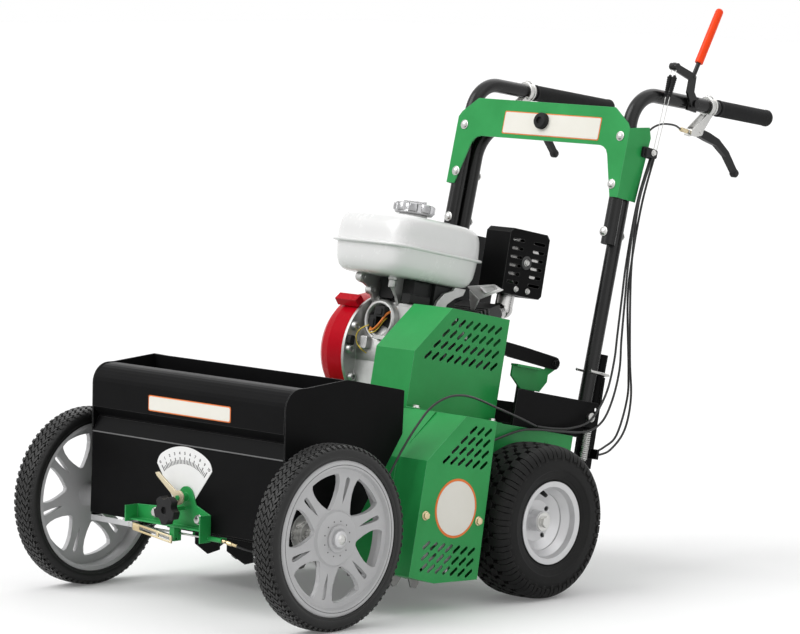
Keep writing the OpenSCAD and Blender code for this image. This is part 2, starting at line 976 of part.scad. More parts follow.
module reel_shaft() {
  color(steel)
    in_machine() {
      rod(-302, 344, 25, reel_y, reel_z);
      sheave(reel_belt_x, 44, 10, reel_y, reel_z);
    }
}

module blade() {
  difference() {
    union() {
      circle(d = 92);
      for (a = [0:45:315])
        rotate(a)
          polygon([[34, -18], [blade_r - 6, -11], [blade_r, 4], [blade_r - 8, 12], [34, 18]]);
    }
    circle(d = 25 + 2 * fit);
  }
}

module reel_blades() {
  color(steel)
    in_machine()
      translate([0, reel_y, reel_z])
        for (i = [0:blade_count - 1])
          rotate([22.5 * (i % 2), 0, 0])
            along_x(-255 + 510 * i / (blade_count - 1) - blade_t / 2,
              -255 + 510 * i / (blade_count - 1) + blade_t / 2)
              blade();
}

module idler_arm() {
  color(black)
    in_machine()
      difference() {
        union() {
          along_x(96, 103)
            polygon(concat(arc(-40, 226, 14, -90, 90, 6), arc(idler_y, idler_z, 12, 90, 270, 6)));
          rod(102, 144, 12, idler_y, idler_z);
        }
        rod(90, 110, 12 + 2 * fit, -40, 226);
      }
}

module idler_pulley() {
  color(steel)
    in_machine()
      difference() {
        rod(114, 142, 40, idler_y, idler_z);
        rod(110, 150, 12 + 2 * fit, idler_y, idler_z);
      }
}

module hydro_pulley() {
  color(steel)
    in_machine() {
      rod(74, 184, 16, hydro_y, hydro_z);
      sheave(hydro_x, 38, 7, hydro_y, hydro_z);
    }
}

module rear_axle() {
  color(steel)
    in_machine() {
      rod(-rear_x - 34, rear_x + 34, rear_axle_d, 0, 0);
      both()
        translate([rear_x + 32, 0, 0])
          rotate([0, 90, 0]) {
            cylinder(d = 40, h = 3);
            cylinder(d = 24, h = 11, $fn = 6);
          }
    }
}

module rear_rim_barrel() {
  r = rear_rim_d / 2;
  rotate([0, 90, 0])
    rotate_extrude()
      polygon([[r - 12, 54], [r, 56], [r, 53.2], [r - 11, 51], [r - 13, 40], [r - 24, 26],
        [r - 24, -26], [r - 13, -40],
        [r - 11, -51], [r, -53.2], [r, -56], [r - 12, -54], [r - 15.5, -41], [r - 27, -27],
          [r - 27, 27], [r - 15.5, 41]]);
}

module rear_disc() {
  r = rear_rim_d / 2;
  b = rear_axle_d / 2 + fit;
  rotate([0, 90, 0])
    difference() {
      rotate_extrude()
        polygon([[b, -rear_hub], [22, -rear_hub], [22, 3], [46, 6], [r - 26.5, 20], [r - 26.5, 24],
          [44, 10.5], [22, 8], [22, 32], [b, 32]]);
      for (i = [0:3])
        rotate([0, 0, 45 + 90 * i])
          translate([40, 0, -10])
            cylinder(d = 11, h = 40);
    }
}

module rear_rims() {
  color(alloy)
    in_machine()
      both()
        translate([rear_x, 0, 0]) {
          rear_rim_barrel();
          rear_disc();
        }
}

module rear_tyre() {
  r = rear_rim_d / 2;
  w = rear_tyre_w / 2;
  rotate([0, 90, 0])
    rotate_extrude()
      polygon(concat([[r - 12.6, -40], [r - 10.4, -50.6], [r + 2, -52.8], [r + 10, -57], [r + 34, -w]],
        arc(rear_r - 26, -w + 24, 24, -78, -24, 5), [[rear_r - 0.6, -26], [rear_r, 0], [rear_r - 0.6, 26]],
        arc(rear_r - 26, w - 24, 24, 24, 78, 5),
        [[r + 34, w], [r + 10, 57], [r + 2, 52.8], [r - 10.4, 50.6], [r - 12.6, 40], [r - 2, 34],
          [r + 34, 52],
         [rear_r - 22, 42], [rear_r - 12, 20], [rear_r - 12, -20], [rear_r - 22, -42], [r + 34, -52],
           [r - 2, -34]]));
}

module rear_tyres() {
  color(rubber)
    in_machine()
      both()
        translate([rear_x, 0, 0])
          rear_tyre();
}

module fuel_cap() {
  color(zinc)
    in_machine()
      translate([-38, -114, 0]) {
        translate([0, 0, 612.4])
          rotate_extrude()
            polygon([[0, 0], [43, 0], [46, 3], [46, 19], [43, 24], [30, 26.5], [0, 26.5]]);
        translate([0, 0, 638])
          cube([64, 11, 10], center = true);
      }
}

module recoil_grip() {
  color(red)
    in_machine()
      translate([fan_x - 25, -170.65, 399.5])
        rotate([46, 0, 0]) {
          translate([-32, -10, 5])
            cube([64, 20, 18]);
          cylinder(d1 = 14, d2 = 20, h = 8);
        }
}

module bar(p, q, d) {
  v = q - p;
  translate(p)
    rotate([0, acos(v[2] / norm(v)), atan2(v[1], v[0])])
      cylinder(d = d, h = norm(v));
}

module you(d, e) {
  both() {
    translate([tube_x, 0, -18 - e])
      cylinder(d = d, h = 568 + e);
    translate([tube_x - 82, 0, 550])
      rotate([90, 0, 0])
        rotate_extrude(angle = 90)
          translate([82, 0])
            circle(d = d);
  }
  rod(82 - tube_x, tube_x - 82, d, 0, 632);
}

module handle_lower() {
  color(black)
    in_handle()
      difference() {
        you(tube_d, 0);
        you(tube_d - 4, 2);
        both()
          rod(tube_x - 20, tube_x + 20, 10 + 2 * fit, 0, 0);
      }
}

module at_bend() {
  translate([jay_x, jay_y + 75, 650])
    rotate([90, 0, 90])
      rotate([0, 0, 180])
        mirror([0, 1, 0])
          children();
}

module along_grip() {
  at_bend()
    rotate([0, 0, 90 - grip_rise])
      translate([75, 0, 0])
        rotate([-90, 0, 0])
          children();
}

module jay(d, e) {
  translate([jay_x, jay_y, 378 - e])
    cylinder(d = d, h = 272 + e);
  at_bend()
    rotate_extrude(angle = 90 - grip_rise)
      translate([75, 0])
        circle(d = d);
  along_grip()
    cylinder(d = d, h = 388 + e);
}

module handle_upper() {
  color(black)
    in_handle() {
      difference() {
        union() {
          jay(tube_d, 0);
          box(253.5, 260, 126, 156, 714, 748);
          rod(255, 270, 10, 142, 731);
          rod(267, 271, 17, 142, 731);
        }
        jay(tube_d - 4, 2);
      }
      mirror([1, 0, 0])
        difference() {
          jay(tube_d, 0);
          jay(tube_d - 4, 2);
        }
    }
}

panel_half = [[0, 679], [0, 593], [180, 593], [191, 590], [200, 584], [206, 574], [235, 481],
  [258, 481], [258, 634],
  [250, 646], [206, 679]];

module console_panel() {
  color(green)
    in_handle() {
      along_y(panel_y - 3, panel_y)
        union() {
          polygon(panel_half);
          mirror([1, 0])
            polygon(panel_half);
        }
      both()
        along_x(255.2, 258.2)
          polygon([[panel_y - 3, 481], [11, 481], [24, 628], [14, 650], [-30, 640], [panel_y - 3, 634]]);
    }
}

module panel_bumper() {
  color(rubber)
    in_handle()
      translate([0, panel_y - 3, 636])
        rotate([90, 0, 0])
          rotate_extrude()
            polygon([[0, 0], [18.5, 0], [18.5, 9], [16, 13], [8, 14], [8, 9], [0, 9]]);
}

module grip(s) {
  difference() {
    translate([0, 0, s])
      cylinder(d = grip_d, h = 392 - s);
    translate([0, 0, s - 1])
      cylinder(d = tube_d + 0.1, h = 389.2 - s);
  }
}

module grips() {
  color(rubber)
    in_handle() {
      along_grip()
        grip(210);
      mirror([1, 0, 0])
        along_grip()
          grip(122);
    }
}

module perch(y0) {
  difference() {
    union() {
      along_grip()
        translate([0, 0, y0 - 36.6 - 9])
          cylinder(d = tube_d + 9, h = 18);
      for (s = [-1, 1])
        along_x(jay_x + 9.5 * s - 1.5, jay_x + 9.5 * s + 1.5)
          polygon(concat([[y0 - 9, 722], [y0 - 44, 684], [y0 - 52, 676], [y0 - 50, 664], [y0 - 36, 664]],
            arc(y0 - 22, 678, 9, -90, 20, 5), [[y0 + 9, 724]]));
      box(jay_x - 11, jay_x + 11, y0 - 52, y0 - 40, 665, 679);
      translate([jay_x, y0 - 72, 672])
        rotate([-90, 0, 0])
          cylinder(d = 9, h = 24);
    }
    along_grip()
      cylinder(d = tube_d + 0.1, h = 380);
  }
  rod(jay_x - 13, jay_x + 13, 7, y0 - 22, 678);
}

module lever_perches() {
  color(zinc)
    in_handle() {
      perch(217);
      mirror([1, 0, 0])
        perch(137);
    }
}

module hand_lever(y0) {
  difference() {
    union() {
      along_x(jay_x - 7, jay_x + 7)
        polygon(concat(arc(y0 - 22, 678, 9, 90, 270, 8), [[y0 + 12, 664], [y0 + 46, 661], [y0 + 84, 644],
          [y0 + 126, 611], [y0 + 132, 621], [y0 + 90, 657], [y0 + 50, 677], [y0 + 14, 684]]));
      translate([jay_x, y0 + 130, 615])
        rotate([0, 90, 0])
          rotate_extrude()
            polygon([[0, -9], [6, -9], [9.5, -5], [9.5, 5], [6, 9], [0, 9]]);
    }
    rod(jay_x - 20, jay_x + 20, 7 + 2 * fit, y0 - 22, 678);
  }
}

module left_hand_lever() {
  color(black)
    in_handle()
      hand_lever(217);
}

module right_hand_lever() {
  color(black)
    in_handle()
      mirror([1, 0, 0])
        hand_lever(137);
}

module handle_bolts() {
  color(zinc)
    in_handle() {
      box(258.2, 271, 12, 46, 585.4, 600);
      both() {
        for (z = [509, 616])
          translate([jay_x - 4, panel_y - 3, z])
            rotate([90, 0, 0])
              cylinder(d = 17, h = 6);
        translate([jay_x - 4, jay_y - tube_d / 2, 404])
          rotate([90, 0, 0])
            cylinder(d = 17, h = 6);
        for (z = [404, 509])
          translate([tube_x, tube_d / 2, z])
            rotate([-90, 0, 0])
              cylinder(d = 17, h = 7, $fn = 6);
        translate([jay_x, jay_y + tube_d / 2, 616])
          rotate([-90, 0, 0])
            cylinder(d = 17, h = 7, $fn = 6);
      }
    }
}

module clutch_lever() {
  color(black)
    in_handle()
      difference() {
        union() {
          along_x(260.6, 266.6)
            polygon(concat([[150, 724], [152, 736], [130, 756], [128, 790], [112, 796], [56, 804]],
              arc(52, 796, 9, 80, 270, 6), [[108, 778], [108, 750], [130, 722]]));
          bar([263.6, 119, 786], [263.6, 168, 948], 10);
          rod(254, 274, 16, 52, 796);
        }
        rod(250, 280, 10 + 2 * fit, 142, 731);
      }
}

module lever_sleeve() {
  color([0.9, 0.35, 0.08])
    in_handle()
      difference() {
        bar([263.6, 129.5, 821], [263.6, 169.4, 953], 19);
        bar([263.6, 119, 786], [263.6, 168, 948.2], 10.1);
      }
}

module tubes(routes, r, m, ref) {
  for (p = routes)
    loft(rings(curve(p, m), r, 8, ref));
}

module control_cables() {
  color(rubber)
    in_machine()
      tubes([
        [[262, 286, 821.4], [265, 263, 723], [268, 254, 591], [268, 258, 503], [268, 262, 426],
          [268, 265, 372],
          [268, 259, 309], [268, 240, 262], [268, 209, 226], [268, 154, 207], [267, 100, 200.5],
            [267, 50, 199]],
        [[268, 285, 821.4], [271, 257, 723], [274, 254, 591], [274, 262, 504], [274, 271, 417],
          [274, 280, 352],
          [274, 272, 284], [274, 249, 233], [274, 202, 206], [273, 120, 197], [270, 48, 192.2],
            [270, -4, 184],
          [271, -73, 158], [286, -140, 136], [303, -186, 118], [303, -204, 112]],
        [[262, 292, 821.4], [263, 270, 723], [267, 272, 600], [271, 283, 507], [271, 313, 378],
          [271, 336, 296],
          [271, 331, 224], [270, 295, 176], [268, 258, 160]],
        [[268, 291.5, 821.4], [268.5, 275, 723], [262, 278, 600], [261, 286, 506], [261, 325, 356],
          [261, 335, 291],
          [261, 319, 211], [260, 285, 180], [259, 258, 166]]],
        2.5, 2, [1, 0.02, 0.03]);
}

function with_seedbox(p) = p - (hinge_back - 246.06) * [0, cos(frame_tilt), sin(frame_tilt)]
  + [(hw - 290) * min(1, (p[0] - 122.4) / 160), 0, 0];

module gate_cable() {
  color(rubber)
    in_machine()
      tubes([concat(
        [[267, 47, 199.2], [280, -28, 211], [300, -120, 222], [335, -222, 232], [352, -290, 233],
          [354, -337, 222],
          [350, -375, 195], [344, -403, 150], [336, -422, 104]],
        [for (p = [[329, -440, 52], [321, -461, -13], [312, -496, -70], [284, -536, -122], [240, -594, -143],
          [186, -652, -150], [142, -679, -142], [122.4, -682, -139.2]]) with_seedbox(p)])],
        2.5, 2, [0.3, 0.2, 1]);
}

module lever_wires() {
  color(steel)
    in_handle()
      for (x = [257.5, 270.5])
        bar([x, 51.5, 787.9], [x < 262 ? 262.4 : 267, x < 262 ? 35 : 40, 600.2], 1.8);
}

seed_hopper();
hopper_end_plates();
lower_front_cover();
adjuster_bracket();
gate_spring();
axle_bearings();
seedbox_hinge_pins();
front_axle();
front_left_wheel();
front_left_tyre();
front_right_wheel();
front_right_tyre();
rate_pointer();
rate_knob();
seed_gate();
deck();
lower_belt_guard();
upper_belt_guard();
handle_base();
handle_pivot_bolts();
engine_block();
cylinder_node();  // cylinder
fuel_tank();
tank_brackets();
fan_cover();
muffler();
muffler_guard();
air_cleaner();
transaxle();
shaft_bearings();
latch_bracket();
latch_arm();
return_spring();
belts();
crankshaft();
jackshaft();
reel_shaft();
reel_blades();
idler_arm();
idler_pulley();
hydro_pulley();
rear_axle();
rear_rims();
rear_tyres();
fuel_cap();
recoil_grip();
handle_lower();
handle_upper();
console_panel();
panel_bumper();
grips();
lever_perches();
handle_bolts();
left_hand_lever();
right_hand_lever();
clutch_lever();
lever_sleeve();
control_cables();
gate_cable();
lever_wires();
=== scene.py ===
import math
import random

import bmesh
import bpy
from mathutils import Matrix, Vector


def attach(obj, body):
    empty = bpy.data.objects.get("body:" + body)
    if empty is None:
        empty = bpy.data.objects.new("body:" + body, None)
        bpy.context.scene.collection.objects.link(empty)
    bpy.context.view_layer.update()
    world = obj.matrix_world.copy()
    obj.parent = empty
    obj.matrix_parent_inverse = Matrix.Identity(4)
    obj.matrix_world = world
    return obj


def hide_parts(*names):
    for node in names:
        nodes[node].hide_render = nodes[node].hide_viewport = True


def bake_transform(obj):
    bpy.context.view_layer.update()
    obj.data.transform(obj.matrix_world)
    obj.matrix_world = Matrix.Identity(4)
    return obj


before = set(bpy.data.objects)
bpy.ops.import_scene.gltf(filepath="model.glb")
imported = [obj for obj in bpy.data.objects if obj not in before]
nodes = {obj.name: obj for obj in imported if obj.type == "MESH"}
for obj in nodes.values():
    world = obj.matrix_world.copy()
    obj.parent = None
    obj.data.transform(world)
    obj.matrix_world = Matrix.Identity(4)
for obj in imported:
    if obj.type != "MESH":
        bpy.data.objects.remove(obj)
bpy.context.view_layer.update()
print("frame loaded with", len(nodes), "solids")

# local frames of the machine: millimetres in, metres out
layout = {"frontAxle": -0.6532, "rearAxle": -0.0232, "rearRadius": 0.165, "tilt": -11.0,
          "pivot": (0, 232, 239), "lean": -2.4}
wheelPlace = {"rearX": 339.5, "frontX": 365, "frontRadius": 190}  # in millimetres
milli = Matrix.Scale(0.001, 4)
boxSpace = Matrix.Translation((0, layout["frontAxle"], 0)) @ milli
deckSpace = (Matrix.Translation((0, layout["rearAxle"], layout["rearRadius"]))
             @ Matrix.Rotation(math.radians(layout["tilt"]), 4, "X") @ milli)
barSpace = (deckSpace @ Matrix.Translation(layout["pivot"])
            @ Matrix.Rotation(math.radians(layout["lean"]), 4, "X"))
bothSides = (1, -1)  # the left of the machine is +X

cameraLook = {"place": (6.15486, -6.3837, 1.45775), "yaw": 44.366, "pitch": 5.745, "roll": 1.3435,
              "lens": 184.35, "film": 36, "reach": 200}


def makeCamera(look):
    yaw, pitch, roll = (math.radians(look[key]) for key in ("yaw", "pitch", "roll"))
    ahead = Vector((-math.sin(yaw) * math.cos(pitch), math.cos(yaw) * math.cos(pitch), -math.sin(pitch)))
    level = Vector((math.cos(yaw), math.sin(yaw), 0))
    top = level.cross(ahead)
    right = level * math.cos(roll) + top * math.sin(roll)
    up = top * math.cos(roll) - level * math.sin(roll)
    data = bpy.data.cameras.new("studioCamera")
    data.lens = look["lens"]
    data.sensor_width = look["film"]
    data.clip_end = look["reach"]
    camera = bpy.data.objects.new("studioCamera", data)
    bpy.context.scene.collection.objects.link(camera)
    turn = Matrix((right, up, -ahead)).transposed().to_4x4()
    camera.matrix_world = Matrix.Translation(look["place"]) @ turn
    bpy.context.scene.camera = camera


makeCamera(cameraLook)
bpy.context.scene.view_settings.view_transform = "Standard"
print("camera set")


class Flow:
    # wraps one socket, so that shader maths reads as plain expressions
    def __init__(self, tree, socket=None):
        self.tree = tree
        self.socket = socket

    def node(self, kind, settings=None, sockets=None, output=0):
        made = self.tree.nodes.new(kind)
        for key, value in (settings or {}).items():
            setattr(made, key, value)
        for key, value in (sockets or {}).items():
            if isinstance(value, Flow):
                self.tree.links.new(value.socket, made.inputs[key])
            else:
                made.inputs[key].default_value = value
        return Flow(self.tree, made.outputs[output])

    def maths(self, operation, first, second):
        return self.node("ShaderNodeMath", {"operation": operation}, {0: first, 1: second})

    def __add__(self, other):
        return self.maths("ADD", self, other)

    __radd__ = __add__

    def __sub__(self, other):
        return self.maths("SUBTRACT", self, other)

    def __rsub__(self, other):
        return self.maths("SUBTRACT", other, self)

    def __mul__(self, other):
        return self.maths("MULTIPLY", self, other)

    __rmul__ = __mul__

    def held(self):
        return self.node("ShaderNodeClamp", None, {0: self})

    def mixed(self, first, second):
        # this socket is the share of the second colour
        colours = [c if isinstance(c, Flow) else (*c, 1) for c in (first, second)]
        return self.node("ShaderNodeMix", {"data_type": "RGBA"}, {0: self, 6: colours[0], 7: colours[1]}, 2)


def grey(tone, blue=None):
    return (tone, tone, tone if blue is None else blue)


# every finish: base and clouded colour, colour and share of lighter edges (wear on some finishes, a painted
# highlight on others), roughness, grain size and depth in mm
finishRecipes = {
    # the light green edge colour is a painted highlight along the bent edges of the guards
    "guardGreen": dict(
        colour=(0.019, 0.278, 0.064), cloud=(0.028, 0.330, 0.083), edge=(0.16, 0.58, 0.27),
        edgeWearAndHighlight=0.7, rough=0.34, specular=0.20, coat=0.04, grain=620, depth=0.16),
    # the grey edge colour is a painted highlight along the edges of the black sheet metal
    "hopperBlack": dict(
        colour=grey(0.0034, 0.0036), cloud=grey(0.0052, 0.0055), edge=grey(0.13),
        edgeWearAndHighlight=0.7, rough=0.42, specular=0.05, grain=520, depth=0.2),
    # a painted highlight: light grey for the bright line along the lip of the black hopper cover
    "lipHighlightGrey": dict(
        colour=grey(0.10), cloud=grey(0.15), edge=grey(0.3),
        edgeWearAndHighlight=0.4, rough=0.34, specular=0.4, grain=600, depth=0.1),
    "tubeBlack": dict(
        colour=grey(0.0042, 0.0045), cloud=grey(0.0065), edge=grey(0.045),
        edgeWearAndHighlight=0.4, rough=0.25, specular=0.30, grain=700, depth=0.12),
    "tankWhite": dict(
        colour=grey(0.765, 0.76), cloud=grey(0.81, 0.805), edge=grey(0.9),
        edgeWearAndHighlight=0.2, rough=0.26, coat=0.25, grain=480, depth=0.06),
    "shroudRed": dict(
        colour=(0.47, 0.002, 0.011), cloud=(0.56, 0.004, 0.015), edge=(0.80, 0.08, 0.09),
        edgeWearAndHighlight=0.3, rough=0.26, specular=0.05, coat=0.01, grain=420, depth=0.08),
    "castAlloy": dict(
        colour=grey(0.41, 0.405), cloud=grey(0.54, 0.53), edge=grey(0.80, 0.79),
        edgeWearAndHighlight=0.6, rough=0.44, metal=0.85, grain=330, depth=0.45, pits=0.5),
    "darkCasting": dict(
        colour=grey(0.035, 0.036), cloud=grey(0.06), edge=grey(0.22, 0.21),
        edgeWearAndHighlight=0.5, rough=0.55, metal=0.3, grain=260, depth=0.5, pits=0.5),
    "zincPlate": dict(
        colour=grey(0.46, 0.45), cloud=(0.60, 0.595, 0.575), edge=grey(0.9, 0.88),
        edgeWearAndHighlight=0.4, rough=0.28, metal=1.0, grain=900, depth=0.08),
    "goldZinc": dict(
        colour=(0.58, 0.45, 0.24), cloud=(0.72, 0.62, 0.42), edge=(0.88, 0.82, 0.62),
        edgeWearAndHighlight=0.4, rough=0.32, metal=0.9, grain=700, depth=0.08),
    "pointerBrass": dict(
        colour=(0.60, 0.50, 0.32), cloud=(0.70, 0.63, 0.46), edge=(0.85, 0.80, 0.66),
        edgeWearAndHighlight=0.4, rough=0.36, metal=0.55, grain=600, depth=0.1),
    "turnedSteel": dict(
        colour=grey(0.36, 0.37), cloud=grey(0.50), edge=grey(0.75),
        edgeWearAndHighlight=0.5, rough=0.33, metal=1.0, grain=500, depth=0.12, stretch=(12, 1, 1)),
    "bladeSteel": dict(
        colour=grey(0.20, 0.205), cloud=(0.33, 0.32, 0.31), edge=grey(0.7),
        edgeWearAndHighlight=0.8, rough=0.4, metal=1.0, grain=300, depth=0.2),
    "chromePipe": dict(
        colour=grey(0.40, 0.405), cloud=(0.52, 0.51, 0.49), edge=grey(0.8),
        edgeWearAndHighlight=0.2, rough=0.22, metal=1.0, grain=240, depth=0.06),
    "capChrome": dict(
        colour=grey(0.30, 0.31), cloud=grey(0.48), edge=grey(0.85),
        edgeWearAndHighlight=0.6, rough=0.22, metal=1.0, grain=240, depth=0.06),
    "wheelGrey": dict(
        colour=grey(0.46, 0.465), cloud=grey(0.52, 0.525), edge=grey(0.66),
        edgeWearAndHighlight=0.35, rough=0.5, specular=0.35, metal=0.1, grain=850, depth=0.22),
    "rimSilver": dict(
        colour=grey(0.56, 0.57), cloud=grey(0.64, 0.645), edge=grey(0.8),
        edgeWearAndHighlight=0.3, rough=0.34, metal=0.45, grain=900, depth=0.1),
    "tyreRubber": dict(
        colour=grey(0.007, 0.0073), cloud=grey(0.014, 0.0136), edge=grey(0.05, 0.048),
        edgeWearAndHighlight=0.5, rough=0.58, specular=0.14, grain=420, depth=0.35),
    # the grey edge colour is a painted glint on the edges of the tread blocks
    "treadRubber": dict(
        colour=grey(0.007, 0.0072), cloud=grey(0.013, 0.0127), edge=grey(0.12, 0.118),
        edgeWearAndHighlight=0.8, rough=0.40, specular=0.30, grain=420, depth=0.35),
    "gripRubber": dict(
        colour=grey(0.012, 0.013), cloud=grey(0.018), edge=grey(0.04),
        edgeWearAndHighlight=0.3, rough=0.62, specular=0.16, grain=1100, depth=0.3),
    "mouldedBlack": dict(
        colour=grey(0.012, 0.0125), cloud=grey(0.019, 0.0195), edge=grey(0.06),
        edgeWearAndHighlight=0.35, rough=0.46, specular=0.18, grain=950, depth=0.2),
    "cableSheath": dict(
        colour=grey(0.010, 0.0105), cloud=grey(0.017), edge=grey(0.04),
        edgeWearAndHighlight=0.0, rough=0.42, specular=0.4, grain=1400, depth=0.1),
    "sleeveOrange": dict(
        colour=(0.93, 0.050, 0.002), cloud=(1.0, 0.066, 0.005), edge=(1.0, 0.16, 0.05),
        edgeWearAndHighlight=0.2, rough=0.36, specular=0.2, grain=600, depth=0.12),
    "wireYellow": dict(
        colour=(0.80, 0.56, 0.04), cloud=(0.88, 0.66, 0.08), edge=(0.9, 0.75, 0.2),
        edgeWearAndHighlight=0.0, rough=0.45, grain=1200, depth=0.1),
    "wireOrange": dict(
        colour=(0.78, 0.20, 0.02), cloud=(0.86, 0.26, 0.04), edge=(0.9, 0.4, 0.1),
        edgeWearAndHighlight=0.0, rough=0.45, grain=1200, depth=0.1),
    "cardWhite": dict(
        colour=grey(0.82, 0.81), cloud=grey(0.86, 0.855), edge=grey(0.7, 0.68),
        edgeWearAndHighlight=0.2, rough=0.48, specular=0.4, grain=1200, depth=0.04),
    "cardCream": dict(
        colour=(0.78, 0.76, 0.68), cloud=(0.83, 0.81, 0.74), edge=(0.7, 0.68, 0.6),
        edgeWearAndHighlight=0.2, rough=0.45, specular=0.4, grain=1200, depth=0.04),
    "cardOrange": dict(
        colour=(0.78, 0.17, 0.02), cloud=(0.84, 0.20, 0.03), edge=(0.85, 0.3, 0.1),
        edgeWearAndHighlight=0.2, rough=0.45, specular=0.4, grain=1200, depth=0.04),
    "dialInk": dict(
        colour=grey(0.012), cloud=grey(0.03), edge=grey(0.05),
        edgeWearAndHighlight=0.0, rough=0.6, specular=0.3, grain=1500, depth=0.03),
}

# how the recipes are put on: a noise has its size, detail and roughness
surfaceLook = {"clouds": (9, 5, 0.6), "scuffs": (70, 6, 0.7), "grain": (3, 0.55), "pitSize": 0.6,
               "edgeRadius": 0.0016, "edgeGain": 10, "cloudFrom": 0.35, "cloudGain": 3, "speckGain": 0.5,
               "speckShare": 0.15, "roughClouds": 0.16, "roughScuffs": 0.1, "bump": 0.6}


def makeFinish(name, recipe, look):
    material = bpy.data.materials.new(name)
    material.use_nodes = True
    tree = material.node_tree
    shader = tree.nodes["Principled BSDF"]
    flow = Flow(tree)

    def noise(place, size, detail, rough):
        return flow.node("ShaderNodeTexNoise", None,
                         {"Vector": place, "Scale": size, "Detail": detail, "Roughness": rough})

    place = flow.node("ShaderNodeTexCoord", output=3)
    drawn = flow.node("ShaderNodeMapping", None, {"Vector": place, "Scale": recipe.get("stretch", (1, 1, 1))})
    clouds = noise(place, *look["clouds"])
    grain = noise(drawn, recipe["grain"], *look["grain"])
    scuffs = noise(place, *look["scuffs"])
    softEdge = flow.node("ShaderNodeBevel", {"samples": 4}, {"Radius": look["edgeRadius"]})
    flat = flow.node("ShaderNodeNewGeometry", output=1)
    facing = flow.node("ShaderNodeVectorMath", {"operation": "DOT_PRODUCT"}, {0: softEdge, 1: flat}, 1)
    # lighter edges where the bevel normal turns away from the face: wear on some finishes, a painted highlight
    # on others
    edgeWearAndHighlight = ((1 - facing) * scuffs * (look["edgeGain"] * recipe["edgeWearAndHighlight"])).held()
    cloudShare = ((clouds - look["cloudFrom"]) * look["cloudGain"]).held()
    speckShare = ((grain - 0.5) * look["speckGain"] + look["speckShare"]).held()
    body = speckShare.mixed(cloudShare.mixed(recipe["colour"], recipe["cloud"]), recipe["cloud"])
    rough = recipe["rough"] + (clouds - 0.5) * look["roughClouds"] + (scuffs - 0.5) * look["roughScuffs"]
    height = grain
    if "pits" in recipe:
        pitScale = recipe["grain"] * look["pitSize"]
        cells = flow.node("ShaderNodeTexVoronoi", None, {"Vector": place, "Scale": pitScale})
        height = grain + cells * recipe["pits"]
    bump = flow.node("ShaderNodeBump", None, {"Strength": look["bump"], "Distance": recipe["depth"] / 1000,
                                              "Height": height, "Normal": softEdge})
    varying = {"Base Color": edgeWearAndHighlight.mixed(body, recipe["edge"]), "Roughness": rough.held(), "Normal": bump}
    for socketName, source in varying.items():
        tree.links.new(source.socket, shader.inputs[socketName])
    shader.inputs["Metallic"].default_value = recipe.get("metal", 0.0)
    shader.inputs["Specular IOR Level"].default_value = recipe.get("specular", 0.5)
    shader.inputs["Coat Weight"].default_value = recipe.get("coat", 0.0)
    return material


finishes = {name: makeFinish(name, recipe, surfaceLook) for name, recipe in finishRecipes.items()}
print("finishes mixed:", len(finishes))

# which finish each solid that stays in view gets
nodeFinish = {
    "hopperBlack": ["seed_hopper", "hopper_end_plates", "lower_front_cover", "muffler_guard", "latch_arm",
                    "idler_arm", "handle_base"],
    "guardGreen": ["adjuster_bracket", "deck", "lower_belt_guard", "upper_belt_guard", "latch_bracket",
                   "console_panel"],
    "tubeBlack": ["handle_lower", "handle_upper", "clutch_lever"],
    "zincPlate": ["axle_bearings", "seedbox_hinge_pins", "handle_pivot_bolts", "lever_perches",
                  "handle_bolts", "front_axle", "rear_axle", "fuel_cap", "seed_gate"],
    "pointerBrass": ["rate_pointer"],
    "wheelGrey": ["front_left_wheel", "front_right_wheel"],
    "rimSilver": ["rear_rims"],
    "castAlloy": ["engine_block", "tank_brackets"],
    "darkCasting": ["cylinder", "transaxle", "shaft_bearings", "crankshaft", "jackshaft", "idler_pulley",
                    "hydro_pulley"],
    "tankWhite": ["fuel_tank"],
    "shroudRed": ["fan_cover", "recoil_grip"],
    "chromePipe": ["muffler"],
    "mouldedBlack": ["air_cleaner", "rate_knob", "left_hand_lever", "right_hand_lever"],
    "gripRubber": ["panel_bumper"],
    "turnedSteel": ["reel_shaft"],
    "bladeSteel": ["reel_blades"],
}
for finishName, members in nodeFinish.items():
    for member in members:
        nodes[member].data.materials.clear()
        nodes[member].data.materials.append(finishes[finishName])
print("solids dressed:", sum(len(members) for members in nodeFinish.values()))


def asPiece(name, bm, space, finish, smooth=30):
    # a bmesh in one of the local frames becomes an object; smooth is the angle above which an edge is sharp
    bmesh.ops.remove_doubles(bm, verts=bm.verts, dist=0.0004)
    bmesh.ops.transform(bm, matrix=space, verts=bm.verts)
    bmesh.ops.recalc_face_normals(bm, faces=bm.faces)
    mesh = bpy.data.meshes.new(name)
    bm.to_mesh(mesh)
    bm.free()
    mesh.materials.append(finishes[finish])
    mesh.polygons.foreach_set("use_smooth", [True] * len(mesh.polygons))
    mesh.set_sharp_from_angle(angle=math.radians(smooth))
    piece = bpy.data.objects.new(name, mesh)
    bpy.context.scene.collection.objects.link(piece)
    return piece


def settle(piece, body, replaced=(), soften=0.0):
    if soften:
        bevel = piece.modifiers.new("roundedEdges", "BEVEL")
        bevel.width = soften / 1000
        bevel.segments = 2
        bevel.limit_method = "ANGLE"
        bevel.angle_limit = math.radians(40)
    if replaced:
        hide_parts(*replaced)
    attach(piece, body)


def bridge(bm, rings, closed=False):
    # rings of equal count become a skin; closed joins the last ring to the first
    made = [[bm.verts.new(point) for point in ring] for ring in rings]
    count = len(made[0])
    for low, high in zip(made, made[1:] + made[:1] if closed else made[1:]):
        for k in range(count):
            bm.faces.new((low[k], low[(k + 1) % count], high[(k + 1) % count], high[k]))
    if not closed:
        bm.faces.new(list(reversed(made[0])))
        bm.faces.new(made[-1])


def spotOn(axis, a, b, along):
    return Vector({"X": (along, a, b), "Y": (a, along, b), "Z": (a, b, along)}[axis])


